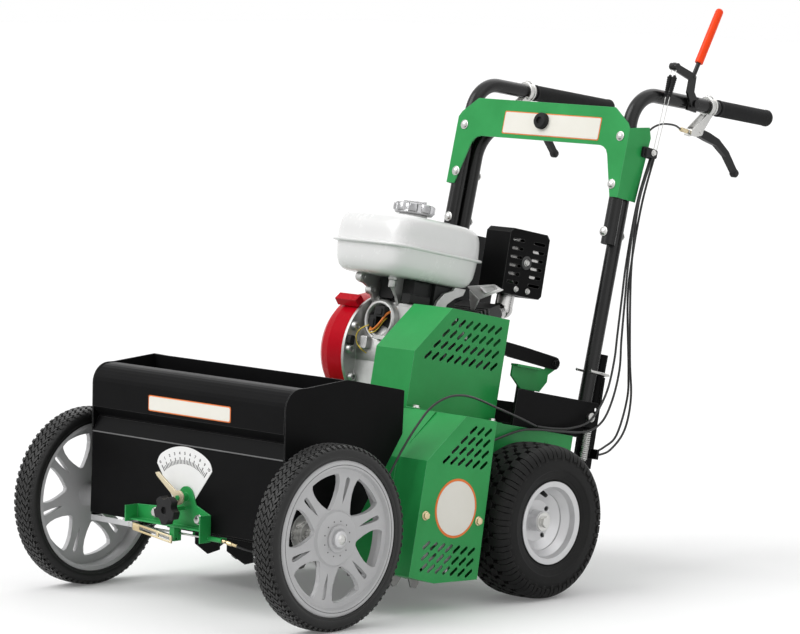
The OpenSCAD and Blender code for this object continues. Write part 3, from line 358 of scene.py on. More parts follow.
def circle(radius, steps, centre=(0, 0)):
    angles = [2 * math.pi * i / steps for i in range(steps)]
    return [(centre[0] + radius * math.cos(angle), centre[1] + radius * math.sin(angle)) for angle in angles]


def lathe(bm, profile, steps=96, at=(0, 0, 0), axis="X"):
    # profile is a loop of (radius, distance along the axis) that stays off the axis, or ends on it
    made = []
    for c, s in circle(1, steps):
        made.append([bm.verts.new(spotOn(axis, r * c, r * s, along) + Vector(at)) for r, along in profile])
    count = len(profile)
    for here, there in zip(made, made[1:] + made[:1]):
        for k in range(count):
            n = (k + 1) % count
            if profile[k][0] > 0 or profile[n][0] > 0:
                bm.faces.new((here[k], here[n], there[n], there[k]))
    bmesh.ops.remove_doubles(bm, verts=bm.verts, dist=0.0005)


def smoothPath(points, steps=6):
    # the same flowing curve as the solids use
    points = [Vector(p) for p in points]
    last = len(points) - 1
    path = []
    for i in range(last):
        a, b, c, d = points[max(i - 1, 0)], points[i], points[i + 1], points[min(i + 2, last)]
        for j in range(steps):
            t = j / steps
            path.append(0.5 * (2 * b + (c - a) * t + (2 * a - 5 * b + 4 * c - d) * t * t
                               + (3 * b - a - 3 * c + d) * t * t * t))
    path.append(points[last])
    return path


def tube(bm, path, radius, sides=10):
    # radius is a number, or a list with one for each point of the path
    path = [Vector(p) for p in path]
    last = len(path) - 1
    across = None
    rings = []
    for i, point in enumerate(path):
        along = (path[min(i + 1, last)] - path[max(i - 1, 0)]).normalized()
        if across is None:
            across = along.orthogonal().normalized()
        across = (across - along * across.dot(along)).normalized()
        other = along.cross(across)
        size = radius[i] if isinstance(radius, list) else radius
        rings.append([point + (across * c + other * s) * size for c, s in circle(1, sides)])
    bridge(bm, rings)


def plate(bm, outline, low, high, axis):
    # an outline of two numbers a point, drawn out along an axis
    bridge(bm, [[spotOn(axis, a, b, along) for a, b in outline] for along in (low, high)])


def roundedBox(width, height, radius, steps=4, centre=(0, 0)):
    points = []
    for cx, cy, start in ((1, 1, 0), (-1, 1, 90), (-1, -1, 180), (1, -1, 270)):
        for i in range(steps + 1):
            angle = math.radians(start + 90 * i / steps)
            points.append((centre[0] + cx * (width / 2 - radius) + radius * math.cos(angle),
                           centre[1] + cy * (height / 2 - radius) + radius * math.sin(angle)))
    return points


def aimed(at, along):
    # a frame at a spot, with its z axis along a direction
    turn = Vector((0, 0, 1)).rotation_difference(Vector(along)).to_matrix().to_4x4()
    return Matrix.Translation(at) @ turn


def joinInto(bm, part, place):
    bmesh.ops.transform(part, matrix=place, verts=part.verts)
    made = {v: bm.verts.new(v.co) for v in part.verts}
    for face in part.faces:
        bm.faces.new([made[v] for v in face.verts])
    part.free()


def inset(radius, rows, start=0, scale=1):
    # points of a profile from rows of (less than the radius, distance from the start)
    return [(radius - less, start + scale * away) for less, away in rows]


def turned(bm, profile, steps, place):
    # a turned part, its axis along z of the frame it is placed in
    part = bmesh.new()
    lathe(part, profile, steps, axis="Z")
    joinInto(bm, part, place)


# a bolt of thread size 1: washer face, chamfered hexagon head and a slightly domed top
boltLook = {"washer": [(0, 0), (1.05, 0), (1.1, 0.05), (1.1, 0.14), (1.03, 0.2), (0, 0.2)], "sides": 24,
            "across": 0.92, "head": [(0.97, 0.15), (1, 0.2), (1, 0.62), (0.88, 0.74), (0.5, 0.79)]}


def hexBolt(bm, at, along, size, look=boltLook):
    part = bmesh.new()
    lathe(part, [(r * size, h * size) for r, h in look["washer"]], look["sides"], axis="Z")
    across = size * look["across"]
    bridge(part, [[(a, b, size * h) for a, b in circle(across * r, 6)] for r, h in look["head"]])
    joinInto(bm, part, aimed(at, along))


def makeBolts(name, bolts, space, body, finish="zincPlate", smooth=28):
    # bolts are (place, direction, thread size)
    bm = bmesh.new()
    for bolt in bolts:
        hexBolt(bm, *bolt)
    settle(asPiece(name, bm, space, finish, smooth), body)


def pathLength(path):
    return sum((b - a).length for a, b in zip(path, path[1:]))


def makeCord(name, path, radius, space, finish="cableSheath", replaced=()):
    bm = bmesh.new()
    tube(bm, path, radius)
    piece = asPiece(name, bm, space, finish, 60)
    world = [space @ p for p in path]
    if replaced:
        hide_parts(*replaced)
    pathLength(world)
    return piece


# cables first: the routes are those of the solids
cableRoutes = {
    "clutchCable": [
        (262, 286, 821.4), (265, 263, 723), (268, 254, 591), (268, 258, 503), (268, 262, 426), (268, 265, 372),
        (268, 259, 309), (268, 240, 262), (268, 209, 226), (268, 154, 207), (267, 100, 200.5), (267, 50, 199)],
    "idlerCable": [
        (268, 285, 821.4), (271, 257, 723), (274, 254, 591), (274, 262, 504), (274, 271, 417), (274, 280, 352),
        (274, 272, 284), (274, 249, 233), (274, 202, 206), (273, 120, 197), (270, 48, 192.2), (270, -4, 184),
        (271, -73, 158), (286, -140, 136), (303, -186, 118), (303, -204, 112)],
    "driveCable": [
        (262, 292, 821.4), (263, 270, 723), (267, 272, 600), (271, 283, 507), (271, 313, 378), (271, 336, 296),
        (271, 331, 224), (270, 295, 176), (268, 258, 160)],
    "brakeCable": [
        (268, 291.5, 821.4), (268.5, 275, 723), (262, 278, 600), (261, 286, 506), (261, 325, 356),
        (261, 335, 291), (261, 319, 211), (260, 285, 180), (259, 258, 166)],
    "gateCable": [
        (267, 47, 199.2), (280, -28, 211), (300, -120, 222), (335, -222, 232), (352, -290, 233),
        (354, -337, 222), (350, -375, 195), (344, -403, 150), (336, -422, 104), (329, -440, 52),
        (321, -461, -13), (312, -496, -70), (284, -536, -122), (240, -594, -143), (186, -652, -150),
        (142, -679, -142), (122.4, -682, -139.2)],
}
# their radius, and where those of each solid bend from one body to the next
cableLook = {"radius": 2.5,
             "control_cables": {"bodies": ("chassis", "handle"), "bend": ((268, 232, 215), (268, 250, 470))},
             "gate_cable": {"bodies": ("chassis", "seedbox"), "bend": ((340, -300, 230), (300, -520, -95))}}
for cableName, cableRoute in cableRoutes.items():
    node = "gate_cable" if cableName == "gateCable" else "control_cables"
    cable = makeCord(cableName, smoothPath(cableRoute), cableLook["radius"], deckSpace, replaced=[node])
    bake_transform(cable)

wireLook = {"radius": 0.9, "sides": 6, "steps": 12,
            "ends": {"leverWireInner": ((257.5, 51.5, 787.9), (262.4, 35, 600.2)),
                     "leverWireOuter": ((270.5, 51.5, 787.9), (267, 40, 600.2))}}


def makeLeverWires(look):
    for name, ends in look["ends"].items():
        bm = bmesh.new()
        top, bottom = (Vector(spot) for spot in ends)
        path = [top + (bottom - top) * i / look["steps"] for i in range(look["steps"] + 1)]
        tube(bm, path, look["radius"], look["sides"])
        piece = asPiece(name, bm, barSpace, "zincPlate", 60)
        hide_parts("lever_wires")
        barSpace @ bottom
        barSpace @ top
        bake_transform(piece)


makeLeverWires(wireLook)
print("cables and wires laid:", len(cableRoutes) + len(wireLook["ends"]))

# floor, world and lights; a sun has its direction, strength and spread
studioLook = {"ambient": 0.27, "floorTone": 0.86, "floorLift": 0.13, "floorSize": 30,
              "suns": [("keySun", (-0.5, -1.0, 1.0), 2.05, 45), ("topSun", (0.1, 0.25, 1.0), 0.9, 80),
                       ("sideSun", (1.0, -0.15, 0.55), 0.46, 60), ("rearSun", (-0.6, 1.0, 0.8), 0.4, 60)]}


def seenDirectly(flow):
    rays = flow.node("ShaderNodeLightPath").socket.node
    kinds = ("Is Camera Ray", "Is Glossy Ray", "Is Transmission Ray")
    camera, glossy, through = (Flow(flow.tree, rays.outputs[kind]) for kind in kinds)
    return (camera + glossy + through).held()


def makeFloor(look):
    bm = bmesh.new()
    bmesh.ops.create_grid(bm, x_segments=4, y_segments=4, size=look["floorSize"])
    mesh = bpy.data.meshes.new("studioFloor")
    bm.to_mesh(mesh)
    bm.free()
    floor = bpy.data.objects.new("studioFloor", mesh)
    bpy.context.scene.collection.objects.link(floor)
    material = bpy.data.materials.new("studioFloor")
    material.use_nodes = True
    tree = material.node_tree
    tree.nodes.remove(tree.nodes["Principled BSDF"])
    flow = Flow(tree)
    matte = flow.node("ShaderNodeBsdfDiffuse", None, {"Color": (*grey(look["floorTone"]), 1)})
    glow = flow.node("ShaderNodeEmission", None, {"Color": (1, 1, 1, 1), "Strength": look["floorLift"]})
    lifted = flow.node("ShaderNodeAddShader", None, {0: matte, 1: glow})
    shown = flow.node("ShaderNodeMixShader", None, {0: seenDirectly(flow), 1: matte, 2: lifted})
    tree.links.new(shown.socket, tree.nodes["Material Output"].inputs["Surface"])
    mesh.materials.append(material)


def makeStudio(look):
    world = bpy.data.worlds.new("studioWorld")
    bpy.context.scene.world = world
    world.use_nodes = True
    tree = world.node_tree
    strength = seenDirectly(Flow(tree)) * (1 - look["ambient"]) + look["ambient"]
    tree.links.new(strength.socket, tree.nodes["Background"].inputs["Strength"])
    tree.nodes["Background"].inputs["Color"].default_value = (1, 1, 1, 1)
    makeFloor(look)
    for name, source, power, spread in look["suns"]:
        data = bpy.data.lights.new(name, "SUN")
        data.energy = power
        data.angle = math.radians(spread)
        lamp = bpy.data.objects.new(name, data)
        lamp.rotation_euler = Vector(source).to_track_quat("Z", "Y").to_euler()
        bpy.context.scene.collection.objects.link(lamp)


makeStudio(studioLook)
print("studio lit")


def alongProfile(points):
    # arc-length lookup on one half of a tyre outline, crown first; gives the spot and its outward normal
    points = [Vector(p) for p in points]
    last = len(points) - 1
    marks = [0.0]
    for a, b in zip(points, points[1:]):
        marks.append(marks[-1] + (b - a).length)

    def tangent(k):
        return (points[min(k + 1, last)] - points[max(k - 1, 0)]).normalized()

    def look(s):
        side = -1 if s < 0 else 1
        s = min(abs(s), marks[-1] - 1e-6)
        i = max(k for k in range(last) if marks[k] <= s)
        t = (s - marks[i]) / (marks[i + 1] - marks[i])
        spot = points[i].lerp(points[i + 1], t)
        along = tangent(i).lerp(tangent(i + 1), t)
        normal = Vector((-along.y, along.x)).normalized()  # (axial, radial)
        if normal.y < 0 and spot.x < 1:
            normal = -normal
        return Vector((side * spot.x, spot.y)), Vector((side * normal.x, normal.y))
    return look


def treadBlock(bm, surface, stations, depth, draft, turn):
    # a rubber lug: stations are (distance from the crown, angle in degrees, half length in degrees)
    rings = []
    for s, angle, half in stations:
        spot, normal = surface(s)
        low = spot - normal * depth
        ring = []
        for p, a in ((low, -half - draft), (spot, -half), (spot, half), (low, half + draft)):
            theta = math.radians(turn + angle + a)
            ring.append((p.x, p.y * math.cos(theta), p.y * math.sin(theta)))
        rings.append(ring)
    bridge(bm, rings)


def carcassLoop(carcass):
    # (axial, radial) points of one half, from bead to crown, become both halves of a lathe profile
    outer = [(r, x) for x, r in carcass]
    return outer + [(r, -x) for r, x in reversed(outer[:-1])]


rearTyre = {
    "count": 34, "depth": 8.5, "draft": 0.7, "steps": 136,
    "hairs": 46, "seed": 11, "hairSpread": 40, "hairLength": (2.0, 4.5), "hairRadius": 0.28,
    "hairFloor": -120,
    "outline": [(0, 165), (13, 164.9), (26, 164.4), (38, 163.4), (45, 162.2), (49.3, 160.9), (53.6, 158.3),
                (57.3, 154.9), (60.3, 150.7), (62.3, 146), (63.3, 141), (63.5, 134), (63.5, 122.5)],
    "carcass": [(34, 86.5), (40, 75.9), (50.6, 78.1), (52.8, 90.5), (54.0, 92.4), (55.6, 93.2), (57, 98.5),
                (58.2, 99.4), (59.0, 102.2), (61.6, 112), (62.8, 113), (63.4, 115.5), (62.9, 118), (63.2, 126),
                (62.0, 133), (59.2, 141.5), (54.5, 148.5), (47.5, 152.8), (38, 155), (20, 156.3), (0, 156.6)],
    "lining": [(116.5, -50), (140.5, -38), (146.5, 0), (140.5, 38), (116.5, 50)],
    "crown": [(-9, -0.8, 2.9), (-3, -1.4, 3.3), (3, 1.4, 3.3), (9, 0.8, 2.9)],
    "rows": [  # share of the pitch, what is off the depth, stations
        (0.5, 0, [(8, 0.2, 2.3), (13, -0.5, 3.4), (20, -1.1, 3.5), (27, -0.4, 2.4)]),
        (0, 1.5, [(25.5, -0.9, 2.2), (31, -1.0, 3.2), (38, -0.5, 3.2), (46, 0.2, 2.9), (54, 0.5, 2.7),
                  (62, 0.6, 2.6), (70, 0.6, 2.4), (76, 0.6, 2.0)]),
        (0.5, 2.5, [(40, 0.0, 1.3), (47, 0.2, 1.7), (55, 0.5, 1.8), (63, 0.6, 1.8), (72, 0.6, 1.6),
                    (82, 0.6, 1.3)])],
}


def makeTyreHairs(bm, surface, look, side):
    random.seed(look["seed"] + side)
    crown = look["outline"][0][1]
    for i in range(look["hairs"]):
        theta = random.uniform(0, 2 * math.pi)
        spot, normal = surface(random.uniform(-look["hairSpread"], look["hairSpread"]))
        tip = random.uniform(*look["hairLength"])
        path = []
        for lift, sway in ((-1.0, 0.0), (tip * 0.5, 0.1), (tip, 0.6)):
            p = spot + normal * lift
            a = theta + 3 * sway / crown
            path.append((p.x, p.y * math.cos(a), p.y * math.sin(a)))
        if path[-1][2] > look["hairFloor"]:  # none where the tyre stands
            tube(bm, path, look["hairRadius"], 4)


def makeRearTyres(look):
    surface = alongProfile(look["outline"])
    pitch = 360 / look["count"]
    bm = bmesh.new()
    for side in bothSides:
        tyre = bmesh.new()
        lathe(tyre, carcassLoop(look["carcass"]) + look["lining"], look["steps"])
        for i in range(look["count"]):
            treadBlock(tyre, surface, look["crown"], look["depth"], look["draft"], pitch * i)
            for way in bothSides:
                for shift, less, row in look["rows"]:
                    stations = [(way * s, pitch * shift + bend, size) for s, bend, size in row]
                    treadBlock(tyre, surface, stations, look["depth"] - less, look["draft"], pitch * i)
        makeTyreHairs(tyre, surface, look, side)
        joinInto(bm, tyre, Matrix.Translation((side * wheelPlace["rearX"], 0, 0)))
    settle(asPiece("rearTurfTyres", bm, deckSpace, "tyreRubber"), "rear_wheels", ["rear_tyres"])


makeRearTyres(rearTyre)

frontTyre = {
    "count": 76, "depth": 3.2, "draft": 0.12, "steps": 152, "lean": 1.25, "stagger": 1.1, "edgeLess": 0.9,
    "endHalf": 1.15, "midHalf": 1.55, "midLean": 0.2,
    "outline": [(0, 190), (8, 189.9), (16, 189.4), (21.4, 189.2), (25.6, 187.4), (28.4, 184), (29.7, 180),
                (30, 176)],
    "carcass": [(25, 159), (28.4, 160.4), (29.2, 163.6), (28.9, 165.4), (29.9, 167.2), (30, 172), (29.4, 177),
                (27.4, 181.6), (23.6, 184.8), (16, 186), (0, 186.6)],
    "rows": [(-20.5, -13.2), (-11.8, -4.4), (-3.2, 3.2), (4.4, 11.8), (13.2, 20.5)],
    "edge": [(22, 0.6, 1.1), (26, 0.3, 1.2), (30.5, 0, 1.0)],
}


def makeFrontTyre(name, side, look, body, node):
    surface = alongProfile(look["outline"])
    bm = bmesh.new()
    lathe(bm, carcassLoop(look["carcass"]), look["steps"])
    for i in range(look["count"]):
        turn = 360 / look["count"] * i
        for row, (near, far) in enumerate(look["rows"]):
            lean = look["lean"] if row % 2 else -look["lean"]
            shift = row * look["stagger"]
            middle = ((near + far) / 2, shift + lean * look["midLean"], look["midHalf"])
            stations = [(near, shift - lean, look["endHalf"]), middle, (far, shift + lean, look["endHalf"])]
            treadBlock(bm, surface, stations, look["depth"], look["draft"], turn)
        for way in bothSides:
            treadBlock(bm, surface, [(way * s, bend, size) for s, bend, size in look["edge"]],
                       look["depth"] - look["edgeLess"], look["draft"], turn)
    place = Matrix.Translation((side * wheelPlace["frontX"], 0, wheelPlace["frontRadius"]))
    settle(asPiece(name, bm, boxSpace @ place, "treadRubber"), body, [node])


makeFrontTyre("frontLeftTread", 1, frontTyre, "front_axle", "front_left_tyre")
makeFrontTyre("frontRightTread", -1, frontTyre, "front_right_wheel", "front_right_tyre")
print("tyres moulded")

gateLean = math.radians(98)
springLook = {
    "gate": {"wire": 0.935, "turns": 18, "radius": 5.5, "span": 84, "hooks": 3, "start": (-104.6, -77, 160.5),
             "along": (math.sin(gateLean), 0, math.cos(gateLean))},
    "return": {"wire": 1.5, "turns": 15, "radius": 8, "span": 65, "hooks": 4, "start": (262.5, 219, 144.5),
               "along": (0, 0, 1)}, "sides": 6, "turnSteps": 14,
}


def coil(spring, look):
    # a wound spring with its two end hooks
    start, along, across = Vector(spring["start"]), Vector(spring["along"]).normalized(), Vector((0, 1, 0))
    radius, span, turns, hooks = (spring[key] for key in ("radius", "span", "turns", "hooks"))
    other = along.cross(across)
    path = [start - along * hooks, start - along * hooks * 0.4 + across * radius * 0.3]
    steps = turns * look["turnSteps"]
    for i in range(steps + 1):
        angle = 2 * math.pi * turns * i / steps
        spoke = across * math.cos(angle) + other * math.sin(angle)
        path.append(start + along * span * i / steps + spoke * radius)
    end = start + along * span
    path += [end + along * hooks * 0.4 + across * radius * 0.3, end + along * hooks]
    bm = bmesh.new()
    tube(bm, path, spring["wire"], look["sides"])
    return bm


def makeSprings(look):
    spring = look["gate"]
    piece = asPiece("gateSpring", coil(spring, look), boxSpace, "zincPlate", 60)
    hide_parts("gate_spring")
    near = Vector(spring["start"])
    far = near + Vector(spring["along"]) * spring["span"]
    boxSpace @ far
    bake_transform(piece)
    piece = asPiece("returnSpring", coil(look["return"], look), deckSpace, "zincPlate", 60)
    settle(piece, "chassis", ["return_spring"])


makeSprings(springLook)

# belts with raw edges and cogs; a run is its x, then centre and radius of two pulleys
beltLook = {"width": 6, "thick": 4.2, "inset": 0.4, "cog": 1.2, "taper": 0.8, "arcSteps": 24, "stepLength": 4,
            "runs": [(128, (-78, 310), 42, (-235, 125), 52), (168, (-78, 310), 36, (-72, 120), 38),
                     (322, (-235, 125), 34, (-272, -95), 44)]}


def beltLine(first, firstRadius, second, secondRadius, look):
    # closed loop tangent to two pulleys, as points with their outward normals
    gap = Vector(second) - Vector(first)
    heading = math.degrees(math.atan2(gap.y, gap.x))
    wrap = math.degrees(math.acos((firstRadius - secondRadius) / gap.length))
    arcs = []
    for centre, radius, start, stop in ((first, firstRadius, heading + wrap, heading + 360 - wrap),
                                        (second, secondRadius, heading - wrap, heading + wrap)):
        for i in range(look["arcSteps"] + 1):
            angle = math.radians(start + (stop - start) * i / look["arcSteps"])
            normal = Vector((math.cos(angle), math.sin(angle)))
            arcs.append((Vector(centre) + normal * radius, normal))
    line = []
    for (p0, n0), (p1, n1) in zip(arcs, arcs[1:] + arcs[:1]):
        parts = max(1, int((p1 - p0).length / look["stepLength"]))
        line += [(p0.lerp(p1, k / parts), n0.lerp(n1, k / parts).normalized()) for k in range(parts)]
    return line


def makeBelts(look):
    bm = bmesh.new()
    high = look["inset"] + look["thick"]
    wide, narrow = look["width"], look["width"] * look["taper"]
    for x, first, firstRadius, second, secondRadius in look["runs"]:
        rings = []
        for i, (p, n) in enumerate(beltLine(first, firstRadius, second, secondRadius, look)):
            low = look["inset"] + (0.0 if i % 4 < 2 else look["cog"])
            corners = ((-narrow, low), (-wide, high), (wide, high), (narrow, low))
            rings.append([(x + w, *(p + n * lift)) for w, lift in corners])
        bridge(bm, rings, closed=True)
    settle(asPiece("driveBelts", bm, deckSpace, "gripRubber"), "chassis", ["belts"])


makeBelts(beltLook)
print("springs and belts wound")

# ribbed grips on the legs of the handle, and the dipped sleeve of the clutch lever
legLook = {"x": 239, "y": -31, "z": 650, "bend": 75, "rise": 5}
gripLook = {"bore": 16.05, "outer": 19, "pitch": 3.2, "starts": {1: 210, -1: 122}, "end": 392, "wall": 2.8,
            "sides": 40, "ribsAfter": 8, "ribsBefore": 14, "collar": [(1.5, 0), (0, 1.5), (0, 6), (1.4, 7.2)],
            "rib": [(1.4, 0), (0.7, 0.5), (0.7, 1.76), (1.4, 2.4)], "step": [(0.9, 0), (0, 1)],
            "cap": [(0, 5), (2.2, 1.4), (6, 0)]}


def gripPlace(side, look=legLook):
    # the grip leg's own frame, as the solids have it
    rise = math.radians(look["rise"])
    along = Vector((0, math.cos(rise), math.sin(rise)))
    outward = Vector((0, -math.sin(rise), math.cos(rise)))
    start = Vector((look["x"] * side, look["y"] + look["bend"], look["z"])) + outward * look["bend"]
    turn = Matrix((outward.cross(along), outward, along)).transposed().to_4x4()
    return Matrix.Translation(start) @ turn


def makeGrips(look):
    bm = bmesh.new()
    bore, r, pitch, end = (look[key] for key in ("bore", "outer", "pitch", "end"))
    for side, first in look["starts"].items():
        profile = [(bore, first)] + inset(r, look["collar"], first)
        z = first + look["ribsAfter"]
        while z < end - look["ribsBefore"]:
            profile += inset(r, look["rib"], z)
            z += pitch
        profile += inset(r, look["step"], z) + inset(r, look["cap"], end, -1)
        profile += [(0, end), (0, end - look["wall"]), (bore, end - look["wall"])]
        turned(bm, profile, look["sides"], gripPlace(side))
    settle(asPiece("handleGrips", bm, barSpace, "gripRubber"), "handle", ["grips"])


makeGrips(gripLook)

sleeveLook = {"start": (263.6, 129.5, 821), "end": (263.6, 169.4, 953), "radius": 9.5, "bore": 5.05,
              "sides": 36, "wall": 4, "mouth": [(0.8, 0), (0, 0.8)], "waist": 0.1,
              "tip": [(0.4, 8), (1.6, 3.8), (4.2, 1), (7.0, 0)]}


def makeSleeve(look):
    start, end = Vector(look["start"]), Vector(look["end"])
    length = (end - start).length
    r, bore = look["radius"], look["bore"]
    profile = [(bore, 0)] + inset(r, look["mouth"]) + [(r - look["waist"], length / 2)]
    profile += inset(r, look["tip"], length, -1)
    profile += [(0, length), (0, length - look["wall"]), (bore, length - look["wall"])]
    bm = bmesh.new()
    turned(bm, profile, look["sides"], aimed(start, end - start))
    piece = asPiece("dippedLeverSleeve", bm, barSpace, "sleeveOrange", 35)
    settle(piece, "clutch_lever", ["lever_sleeve"])


makeSleeve(sleeveLook)
print("grips and sleeve moulded")

# the rate card behind the pointer, its marks and numbers
coverLook = {"top": 341, "topFace": -58, "tall": 172, "lean": 4}
dialLook = {"x": -2, "z": 206, "radius": 132, "half": 43, "foot": 14, "steps": 28,
            "corner": 0.07, "cornerFrom": 0.74, "marks": 11, "between": 3, "edge": 4.5, "markInner": 96,
            "markOuter": 110, "shorter": 5.5, "wide": (1.0, 0.8), "numbers": 118, "digit": 8.5, "bold": 0.18}


def onCover(x, z, lift, look=coverLook):
    # a spot on the front face of the lower cover, or proud of it
    return (x, look["topFace"] - look["lean"] * (look["top"] - z) / look["tall"] - lift, z)


def fan(half, steps, i):
    # direction of one of the steps across a fan that opens upwards
    angle = math.radians(90 + half - 2 * half * i / steps)
    return Vector((math.cos(angle), math.sin(angle)))


def makeDial(look):
    x, z, steps, foot = look["x"], look["z"], look["steps"], look["foot"]
    outline = []
    for i in range(steps + 1):
        past = max(0.0, abs(2 * i / steps - 1) - look["cornerFrom"]) / (1 - look["cornerFrom"])
        ray = fan(look["half"], steps, i) * look["radius"] * (1 - look["corner"] * past ** 2)
        outline.append((x + ray.x, z + ray.y))
    outline += [(x + foot, z - 2), (x - foot, z - 2)]
    bm = bmesh.new()
    bridge(bm, [[onCover(a, b, lift) for a, b in outline] for lift in (-0.1, 0.7)])
    settle(asPiece("rateCard", bm, boxSpace, "cardWhite"), "seedbox")
    bm = bmesh.new()
    parts = (look["marks"] - 1) * look["between"]
    span = look["half"] - look["edge"]
    for i in range(parts + 1):
        short = i % look["between"] > 0
        ray = fan(span, parts, i)
        side = Vector((-ray.y, ray.x)) * look["wide"][short]
        low, high = ray * look["markInner"], ray * (look["markOuter"] - short * look["shorter"])
        corners = (low + side, low - side, high - side, high + side)
        bridge(bm, [[onCover(x + c.x, z + c.y, lift) for c in corners] for lift in (0.5, 0.95)])
    for i in range(look["marks"]):
        ray = fan(span, look["marks"] - 1, i)
        drawNumber(bm, str(i), ray, look)
    settle(asPiece("rateMarks", bm, boxSpace, "dialInk"), "seedbox")


def drawNumber(bm, words, ray, look):
    # plain figures from Blender's own font, turned to the ray and laid on the cover
    data = bpy.data.curves.new("figure", "FONT")
    data.body = words
    data.size = look["digit"]
    data.offset = look["bold"]
    data.align_x = "CENTER"
    data.align_y = "CENTER"
    data.extrude = 0.2
    made = bpy.data.objects.new("figure", data)
    mesh = made.to_mesh()
    corners = []
    for v in mesh.vertices:
        x = look["x"] + ray.x * look["numbers"] + v.co.x * ray.y + v.co.y * ray.x
        z = look["z"] + ray.y * look["numbers"] - v.co.x * ray.x + v.co.y * ray.y
        corners.append(bm.verts.new(onCover(x, z, 0.75 + v.co.z)))
    for polygon in mesh.polygons:
        bm.faces.new([corners[i] for i in polygon.vertices])
    made.to_mesh_clear()
    bpy.data.objects.remove(made)
    bpy.data.curves.remove(data)


makeDial(dialLook)

# bare plates: a cream face on an orange edge
plateLook = {
    "hopper": {"space": boxSpace, "body": "seedbox", "slot": "black_paint", "axis": "Y", "face": -60.0,
               "way": -1, "size": (249, 33), "corner": 4, "centre": (9.5, 418), "edge": 4.4},
    "panel": {"space": barSpace, "body": "handle", "slot": "green_paint", "axis": "Y", "face": -50.1,
              "way": -1, "size": (290, 52), "corner": 4, "centre": (28, 628), "edge": 4.4},
    "guard": {"space": deckSpace, "body": "chassis", "slot": "green_paint", "axis": "X", "face": 370,
              "way": 1, "radius": 62, "centre": (-273, 0), "edge": 5},
}


def makePlate(name, look):
    layers = (("PlateEdge", "cardOrange", 0, 0.5), ("Plate", "cardCream", look["edge"], 0.9))
    for ending, finish, shrink, lift in layers:
        if "radius" in look:
            outline = circle(look["radius"] - shrink, 64, look["centre"])
        else:
            width, height = look["size"]
            outline = roundedBox(width - shrink, height - shrink, look["corner"], 5, look["centre"])
        low, high = sorted((look["face"] + look["way"] * lift, look["face"] - look["way"] * 0.4))
        bm = bmesh.new()
        plate(bm, outline, low, high, look["axis"])
        settle(asPiece(name + ending, bm, look["space"], finish), look["body"])


for plateName, plateRecipe in plateLook.items():
    makePlate(plateName, plateRecipe)
print("card and plates set")

boltPlaces = {
    "guardBolts": [((370, -360, -24), (1, 0, 0), 9), ((370, -199, -19), (1, 0, 0), 9)],
    "flangeBolts": [((213, -273, 194.5), (0, 0, 1), 8), ((213, -35, 194.5), (0, 0, 1), 8)],
    "bracketBolts": [((-81, -65, 193), (0, -1, 0), 10), ((50, -65, 193), (0, -1, 0), 10)],
}
makeBolts("guardBolts", boltPlaces["guardBolts"], deckSpace, "chassis", "goldZinc", 25)
makeBolts("flangeBolts", boltPlaces["flangeBolts"], deckSpace, "chassis", smooth=25)
makeBolts("bracketBolts", boltPlaces["bracketBolts"], boxSpace, "seedbox", smooth=25)
print("bolts set")

# short cables from the hand levers into the console, with their gold adjusters
leverLook = {"radius": 2.3, "barrel": 5.0, "sides": 20, "rings": 5, "ringPitch": 2.2, "span": (-2, 24),
             "tail": [(1.4, -2), (1.4, 2)], "ring": [(0, 2.4), (0, 3.6), (0.6, 4.1)],
             "nose": [(0.2, 14), (0.2, 24)],
             "left": [(239, 138, 672), (243, 116, 675), (247, 90, 673), (250, 60, 667), (251, 35, 655),
                      (251, 18, 638), (250, 8, 615)],
             "right": [(-239, 58, 672), (-243, 44, 667), (-248, 28, 652), (-250, 14, 630), (-250, 6, 608)]}


def makeLeverCables(look):
    gold = bmesh.new()
    r = look["barrel"]
    for side in ("left", "right"):
        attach(makeCord(side + "LeverCable", smoothPath(look[side]), look["radius"], barSpace), "handle")
        x, y, z = look[side][0]
        start, end = look["span"]
        profile = [(0, y + start)] + inset(r, look["tail"], y)
        for k in range(look["rings"]):
            profile += inset(r, look["ring"], y + look["ringPitch"] * k)
        profile += inset(r, look["nose"], y) + [(0, y + end)]
        lathe(gold, profile, look["sides"], at=(x, 0, z), axis="Y")
    settle(asPiece("barrelAdjusters", gold, barSpace, "goldZinc"), "handle")


makeLeverCables(leverLook)

bootLook = {"length": 50, "gap": 12, "ribs": 9, "radius": 6.4, "taper": 0.22, "sides": 18, "ends": 4,
            "foot": [(3.2, 0), (3.6, 3)], "rib": [(1.2, 0), (0, 0.25), (0, 0.6), (1.2, 0.9)], "mouth": 2.0}


def makeBoots(look):
    bm = bmesh.new()
    length = look["length"]
    step = (length - 2 * look["ends"]) / look["ribs"]
    wire = wireLook["radius"]
    profile = [(wire, 0)] + look["foot"]
    for k in range(look["ribs"]):
        profile += inset(look["radius"] - look["taper"] * k, look["rib"], look["ends"] + step * k, step)
    profile += [(look["mouth"], length), (wire, length)]
    for ends in wireLook["ends"].values():
        top, bottom = (Vector(spot) for spot in ends)
        along = (bottom - top).normalized()
        turned(bm, profile, look["sides"], aimed(top + along * look["gap"], along))
    piece = asPiece("leverBoots", bm, barSpace, "gripRubber", 40)
    top, bottom = (barSpace @ Vector(spot) for spot in wireLook["ends"]["leverWireInner"])
    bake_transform(piece)


makeBoots(bootLook)

